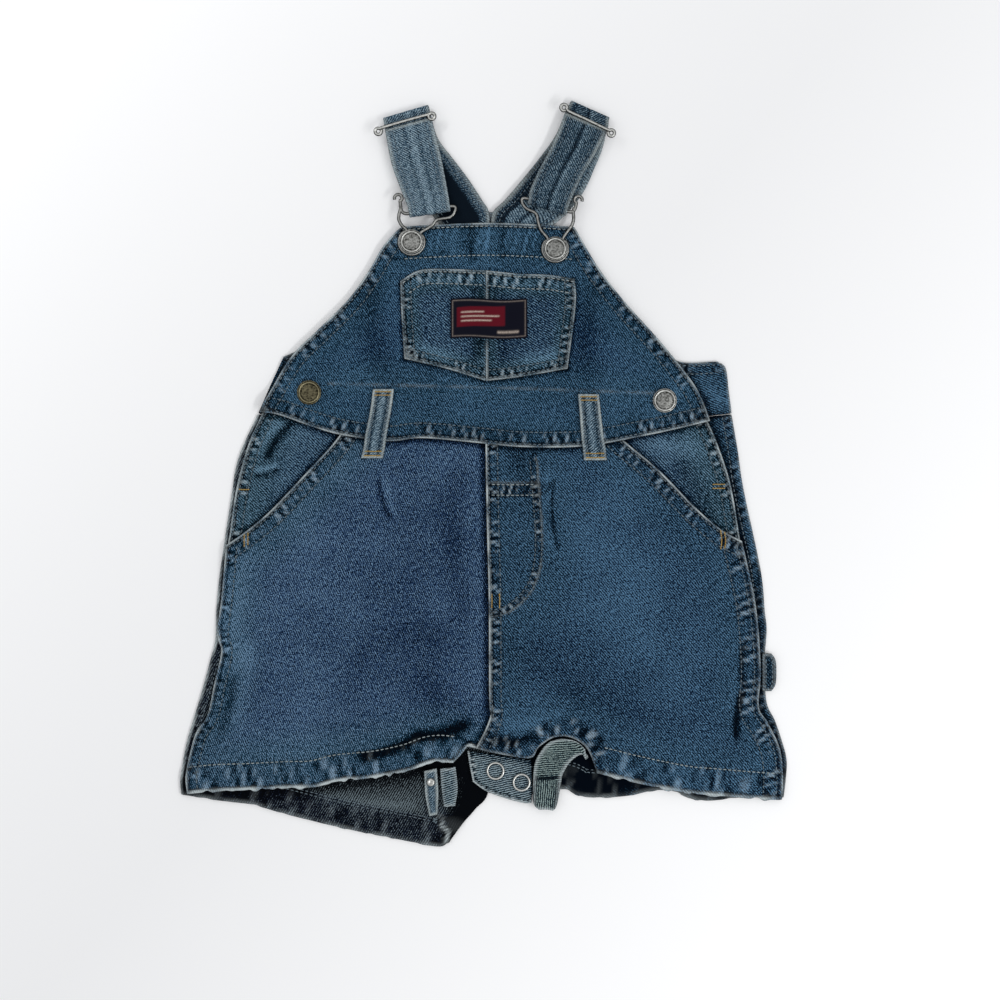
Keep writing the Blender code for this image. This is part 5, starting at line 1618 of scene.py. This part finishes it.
@dataclass
class Straps:
    """Both straps with their sliders.

    Attributes:
        eye: Radius of the slider's curled ends.
    """

    eye: float = 1.9

    def build(self) -> None:
        """Build straps and sliders."""
        heights = (UPPER_RUN, UPPER_RUN, UPPER_RUN + 0.8, BUCKLE_RUN - 0.4, BUCKLE_RUN)
        for name, front, back, creases, inner_edge, tone, back_light_and_shade in (
                # The last number paints the back run: deep painted shadow on the left strap, painted light on the
                # right one.
                ("strap_left", STRAP_LEFT_ROWS, STRAP_LEFT_BACK,
                 ((0.40, 0.9, -0.3), (0.66, 0.8, -0.3), (0.54, 2.0, 0.2)), 1.0, 0.15, -2.6),
                ("strap_right", STRAP_RIGHT_ROWS, STRAP_RIGHT_BACK,
                 ((0.50, 1.0, -0.6), (0.60, 1.2, 0.3), (0.16, 0.9, -0.2)), 0.0, -0.35, 0.9)):
            Strap(name, "strap_denim", STRAP, [(*row, height) for row, height in zip(front, heights)],
                  "back_yoke_cloth", thick=STRAP_WALL, creases=creases, stitches=(1.8, 4.4), wear_and_highlight=0.7,
                  back=[(*row, BACK_RUN) for row in back], inner_edge=inner_edge, tone=tone,
                  back_light_and_shade=back_light_and_shade).build()
        bar = UPPER_RUN + STRAP_WALL / 2 + GAP + WIRE_RADIUS
        Wire("slider_left", arc((-62.4, 204.4), self.eye, 390, 60, 12, bar)
             + level(bar, (-59.6, 206.8), (-46.0, 210.8), (-33.0, 214.4))
             + arc((-30.6, 213.4), self.eye, 120, -205, 12, bar)).build()
        Wire("slider_right", arc((48.4, 218.6), self.eye, 300, -30, 12, bar)
             + level(bar, (52.0, 216.0), (62.0, 211.4), (73.6, 205.8))
             + arc((76.6, 203.4), self.eye, 120, -205, 12, bar)).build()


@dataclass
class Fasteners:
    """Wire buckles, tack buttons, ring snaps and a snap stud.

    Attributes:
        buckle_eye: Radius of a buckle's bend round its button.
        buckle_curl: Radius of its curled end.
        button_radius: Of a tack button.
        button_steps: Points round one.
        ring_radius, ring_wire: Of a ring snap's flange.
        stud_radius: Of the snap's stud.
        stud_foot: Height of the tab's middle under the stud.
    """

    buckle_eye: float = 7.6
    buckle_curl: float = 2.3
    button_radius: float = 7.3
    button_steps: int = 48
    ring_radius: float = 4.8
    ring_wire: float = 0.7
    stud_radius: float = 2.6
    stud_foot: float = 3.8

    def build(self) -> None:
        """Build all the metal pieces but the sliders."""
        h = BUCKLE_HEIGHT
        Wire("buckle_left", arc((-50.6, 164.6), self.buckle_curl, 200, -60, 9, h)
             + level(h, (-46.8, 155.6), (-31.8, 157.8), (-18.0, 159.9), (-16.6, 157.2), (-19.6, 153.4),
                     (-27.4, 151.8), (-30.4, 148.4))
             + arc(BUTTONS["button_bib_left"], self.buckle_eye, 45, -246, 14, h)
             + level(h, (-48.6, 148.6), (-50.2, 151.8), (-50.2, 154.6), (-49.4, 157.6), (-49.0, 160.2)),
             PEWTER).build()
        Wire("buckle_right", arc((57.0, 163.6), self.buckle_curl, -20, 240, 9, h)
             + level(h, (52.6, 156.5), (38.9, 160.6), (25.2, 164.7), (23.4, 162.2), (26.0, 158.6), (31.6, 155.6),
                     (32.8, 151.2), (34.6, 145.8))
             + arc(BUTTONS["button_bib_right"], self.buckle_eye, 126, 413, 14, h)
             + level(h, (52.0, 146.8), (53.6, 149.6), (54.2, 152.8), (54.0, 156.0), (54.6, 159.0)),
             PEWTER).build()
        for name, place in BUTTONS.items():
            self.button(name, place, BRASS if name == "button_side_left" else NICKEL)
        for name, place in (("snap_ring_inner", (7.5, -177.6)), ("snap_ring_outer", (23.1, -184.5))):
            self.ring(name, place)
        self.stud((-31.2, -184.4))

    def button(self, name: str, place: tuple[float, float], finish: PlatedMetal) -> None:
        """Turn a tack button: a domed middle, a raised ring, a groove and a rolled rim.

        Args:
            name: The solid that it stands for.
            place: Its middle.
            finish: Its plating.
        """
        x, y = place
        foot = float(bib_under(np.array([x]), np.array([y]))[0]) + WALL + GAP + 0.4
        over_buckle = BUCKLE_HEIGHT + WIRE_RADIUS + GAP - foot
        cap = max(over_buckle, 1.2) if "bib" in name else 1.2
        # The last column mixes rubbed plating on the raised rings with a painted highlight there, tarnish in the
        # groove, and painted shade on the cap's side and underside.
        profile = [          # share of the radius, height over the cap's foot, and wear
            (0.0, 1.5, 0.35), (0.16, 1.55, 0.42), (0.30, 1.5, 0.32), (0.42, 1.42, 0.4), (0.52, 1.3, 0.34),
            (0.60, 1.2, 0.4), (0.67, 1.1, 0.2), (0.71, 1.05, 0.0), (0.76, 1.5, 0.75), (0.81, 1.65, 1.1),
            (0.86, 1.5, 0.45), (0.90, 1.2, -0.1), (0.94, 1.3, 0.5), (0.975, 1.15, 0.85), (1.0, 0.8, 0.2),
            (0.985, 0.5, -0.1), (0.93, 0.15, -0.3), (0.85, 0.0, -0.3), (0.47, 0.0, -0.3),
            (0.47, -0.1 - cap, 0.1), (0.0, -0.1 - cap, 0.1)]
        share, height, worn = np.array(profile).T
        points, faces = turned(np.column_stack([share * self.button_radius, cap + height]), (x, y, foot),
                               self.button_steps)
        wear_and_highlight = np.concatenate([np.repeat(worn[1:-1], self.button_steps), worn[[0, -1]]])
        make(f"{name}_cap", points, faces, finish.material(), "nickel_plate", name, {"wear_and_highlight": wear_and_highlight})

    def ring(self, name: str, place: tuple[float, float]) -> None:
        """Sweep a ring snap's flange, a closed ring of round wire.

        Args:
            name: The solid that it stands for.
            place: Its middle.
        """
        height = HEM_WALL + GAP + TAB_WALL + GAP + self.ring_wire + 0.25
        middle = np.array(arc(place, self.ring_radius, 0.0, 360.0, 57, height)[:-1])
        points, faces = tube(middle, self.ring_wire, 12, closed=True)
        # Painted highlight along the flange's top and painted shade underneath, by height in the wire.
        wear_and_highlight = np.clip(1.6 * (points[:, 2] - height) / self.ring_wire - 0.1, -0.3, 1.0)
        make(f"{name}_flange", points, faces, NICKEL.material(), "nickel_plate", name, {"wear_and_highlight": wear_and_highlight})

    def stud(self, place: tuple[float, float]) -> None:
        """Turn the snap's stud: a small dome with a dimple."""
        r = self.stud_radius
        profile = np.array([(0.0, 0.9), (0.3 * r, 1.0), (0.5 * r, 1.3), (0.7 * r, 1.25), (0.95 * r, 0.8),
                            (r, 0.4), (0.95 * r, 0.0), (0.0, 0.0)])
        points, faces = turned(profile, (*place, self.stud_foot + TAB_WALL / 2 + GAP), 32)
        make("snap_stud_dome", points, faces, NICKEL.material(), "nickel_plate", "snap_stud",
             {"wear_and_highlight": np.full(len(points), 0.8)})


@dataclass
class Crotch:
    """Snap placket, binding end, the other placket's tabs, and the hammer loop.

    Attributes:
        loop_left, loop_right, loop_bottom, loop_top: The hammer loop's edges.
    """

    loop_left: float = 167.6
    loop_right: float = 175.4
    loop_bottom: float = -129.8
    loop_top: float = -107.8

    def build(self) -> None:
        """Build the placket, binding, tabs and hammer loop."""
        Panel("snap_placket", "strap_denim", PLACKET,
              ([PLACKET_BOTTOM], [PLACKET_TOP], [PLACKET_LEFT], [PLACKET_RIGHT]),
              flat_at(HEM_WALL + GAP),
              bands=(Band(PLACKET_BOTTOM, width=2.4, rise=0.2, rope=0.15, period=5.0, edge_wear=0.8,
                          stitches=(1.6,)),
                     Band(PLACKET_LEFT, side=-1.0, width=4.0, rise=0.1, rope=0.1, period=4.0, edge_wear=0.9,
                          wear_and_highlight=0.8,
                          stitches=())),
              creases=(Crease(-4.0, -180.0, 20.0, -173.0, 3.0, 0.2, 0.3),),
              # Painted shadows along the placket's top and right edges; the crease tone is painted light.
              painted_shadows=((PLACKET_TOP, 2.6, 1.2), (PLACKET_RIGHT, 1.6, 1.0)),
              thick=TAB_WALL, cell=0.7, tint_reach=4.0, rests_on=("back_leg_right_cloth",)).build()
        Binding("binding_end", "strap_denim", RIB, [
            (33.8, -200.2, 41.4, -200.8, 3.9), (30.6, -197.0, 43.8, -198.4, 4.2),
            (30.2, -186.6, 46.2, -186.4, 4.4),
            (30.6, -177.6, 47.0, -181.0, 4.4), (32.4, -170.2, 48.4, -177.6, 4.4),
            (38.6, -161.6, 51.4, -172.8, 4.5),
            (46.0, -158.8, 56.2, -168.6, 4.6), (54.2, -160.0, 60.2, -167.4, 4.8),
            (60.4, -164.8, 62.2, -170.2, 4.8)],
                "back_leg_right_cloth", thick=2.2, crown=0.8, wear_and_highlight=0.7, columns=22).build()
        Strip("placket_tab_inner", "strap_denim", STRAP, [
            (-31.8, -204.6, -27.6, -203.6, 3.4), (-34.2, -192.6, -27.0, -191.4, 3.6),
            (-35.0, -178.0, -27.8, -176.4, 3.8)],
              "back_leg_left_cloth", crown=0.5, stitches=(1.4,), columns=16).build()
        Strip("placket_tab_outer", "strap_denim", PLACKET, [
            (-23.0, -199.0, -17.0, -198.4, 3.4), (-24.4, -189.6, -15.4, -188.4, 3.6),
            (-25.4, -176.6, -16.6, -175.6, 3.8)],
              "back_leg_left_cloth", crown=0.9, wear_and_highlight=0.5, columns=20).build()
        u = np.linspace(0.0, 1.0, 10)
        heights = self.loop_bottom + u * (self.loop_top - self.loop_bottom)
        right = self.loop_left + (self.loop_right - self.loop_left) * (1.0 - 0.35 * np.abs(2 * u - 1) ** 4)
        rows = [(self.loop_left, y, x, y, WALL + GAP + 0.8) for x, y in zip(right, heights)]
        Strip("hammer_loop", "washed_denim", FACING, rows, "back_leg_right_cloth", thick=1.6, stitches=(1.6,),
              columns=12, tone=-0.7, wear_and_highlight=0.35).build()


@dataclass
class Studio:
    """Pale floor, soft light from the upper left, and the camera straight above.

    Attributes:
        height: The camera's height over the table, in mm.
        view_width: Width of the view at the table.
        aim_x, aim_y: Where it looks.
        floor_size: Side of the floor, whose far edge is out of sight.
        floor_depth: How far the floor lies under the cloth.
    """

    height: float = 1500.0
    view_width: float = 600.0
    aim_x: float = 10.2
    aim_y: float = -15.6
    floor_size: float = 40000.0
    floor_depth: float = 0.4

    def build(self) -> None:
        """Build floor, world, lights and camera."""
        mesh = bpy.data.meshes.new("floor")
        reach = self.floor_size / 2 * MM
        corners = ((-1, -1), (1, -1), (1, 1), (-1, 1))
        mesh.from_pydata([(x * reach, y * reach, -self.floor_depth * MM) for x, y in corners], [], [(0, 1, 2, 3)])
        floor = bpy.data.objects.new("floor", mesh)
        bpy.context.scene.collection.objects.link(floor)
        material, tree, shader = blank("pale_table")
        plug(tree, shader, {"Base Color": linear("#fafafa"), "Roughness": 0.9})
        mesh.materials.append(material)
        world = bpy.data.worlds.new("studio")
        world.use_nodes = True
        upward = node(world.node_tree, "SeparateXYZ", {0: node(world.node_tree, "TexCoord", out="Generated")},
                      "Z")
        sky = node(world.node_tree, "Mix", {0: upward, 6: linear("#606266"), 7: linear("#fbfcfe")}, 2,
                   data_type="RGBA")
        plug(world.node_tree, world.node_tree.nodes["Background"], {"Color": sky, "Strength": 1.0})
        bpy.context.scene.world = world
        bpy.context.scene.view_settings.view_transform = "Standard"
        self.lamp("key_light", (-1.7, 1.4, 2.2), 1.1, 370.0)
        self.lamp("fill_light", (1.6, -1.0, 2.2), 1.8, 130.0)
        camera = bpy.data.cameras.new("camera")
        camera.lens = camera.sensor_width * self.height / self.view_width
        camera.clip_end = 20.0
        holder = bpy.data.objects.new("camera", camera)
        holder.location = (self.aim_x * MM, self.aim_y * MM, self.height * MM)
        bpy.context.scene.collection.objects.link(holder)
        bpy.context.scene.camera = holder

    def lamp(self, name: str, place: tuple[float, float, float], size: float, power: float) -> None:
        """Hang a square area light that looks at the garment.

        Args:
            name: The light's name.
            place: Its place in metres.
            size: Its side in metres.
            power: Its power in watts.
        """
        data = bpy.data.lights.new(name, "AREA")
        data.size, data.energy = size, power
        lamp = bpy.data.objects.new(name, data)
        lamp.location = place
        down = -np.array(place) / np.linalg.norm(place)
        lamp.rotation_euler = (math.acos(-down[2]), 0.0, math.atan2(down[0], -down[1]))
        bpy.context.scene.collection.objects.link(lamp)


def main() -> None:
    """Build the studio, then the garment, sub-assembly by sub-assembly."""
    logging.basicConfig(level=logging.INFO, format="%(message)s")
    Studio().build()
    for part in (BackPanels(), PocketFacings(), FrontLegs(), Bib(), Straps(), Fasteners(), Crotch()):
        part.build()
        log.info("built %s", type(part).__name__)


if __name__ == "__main__":
    main()
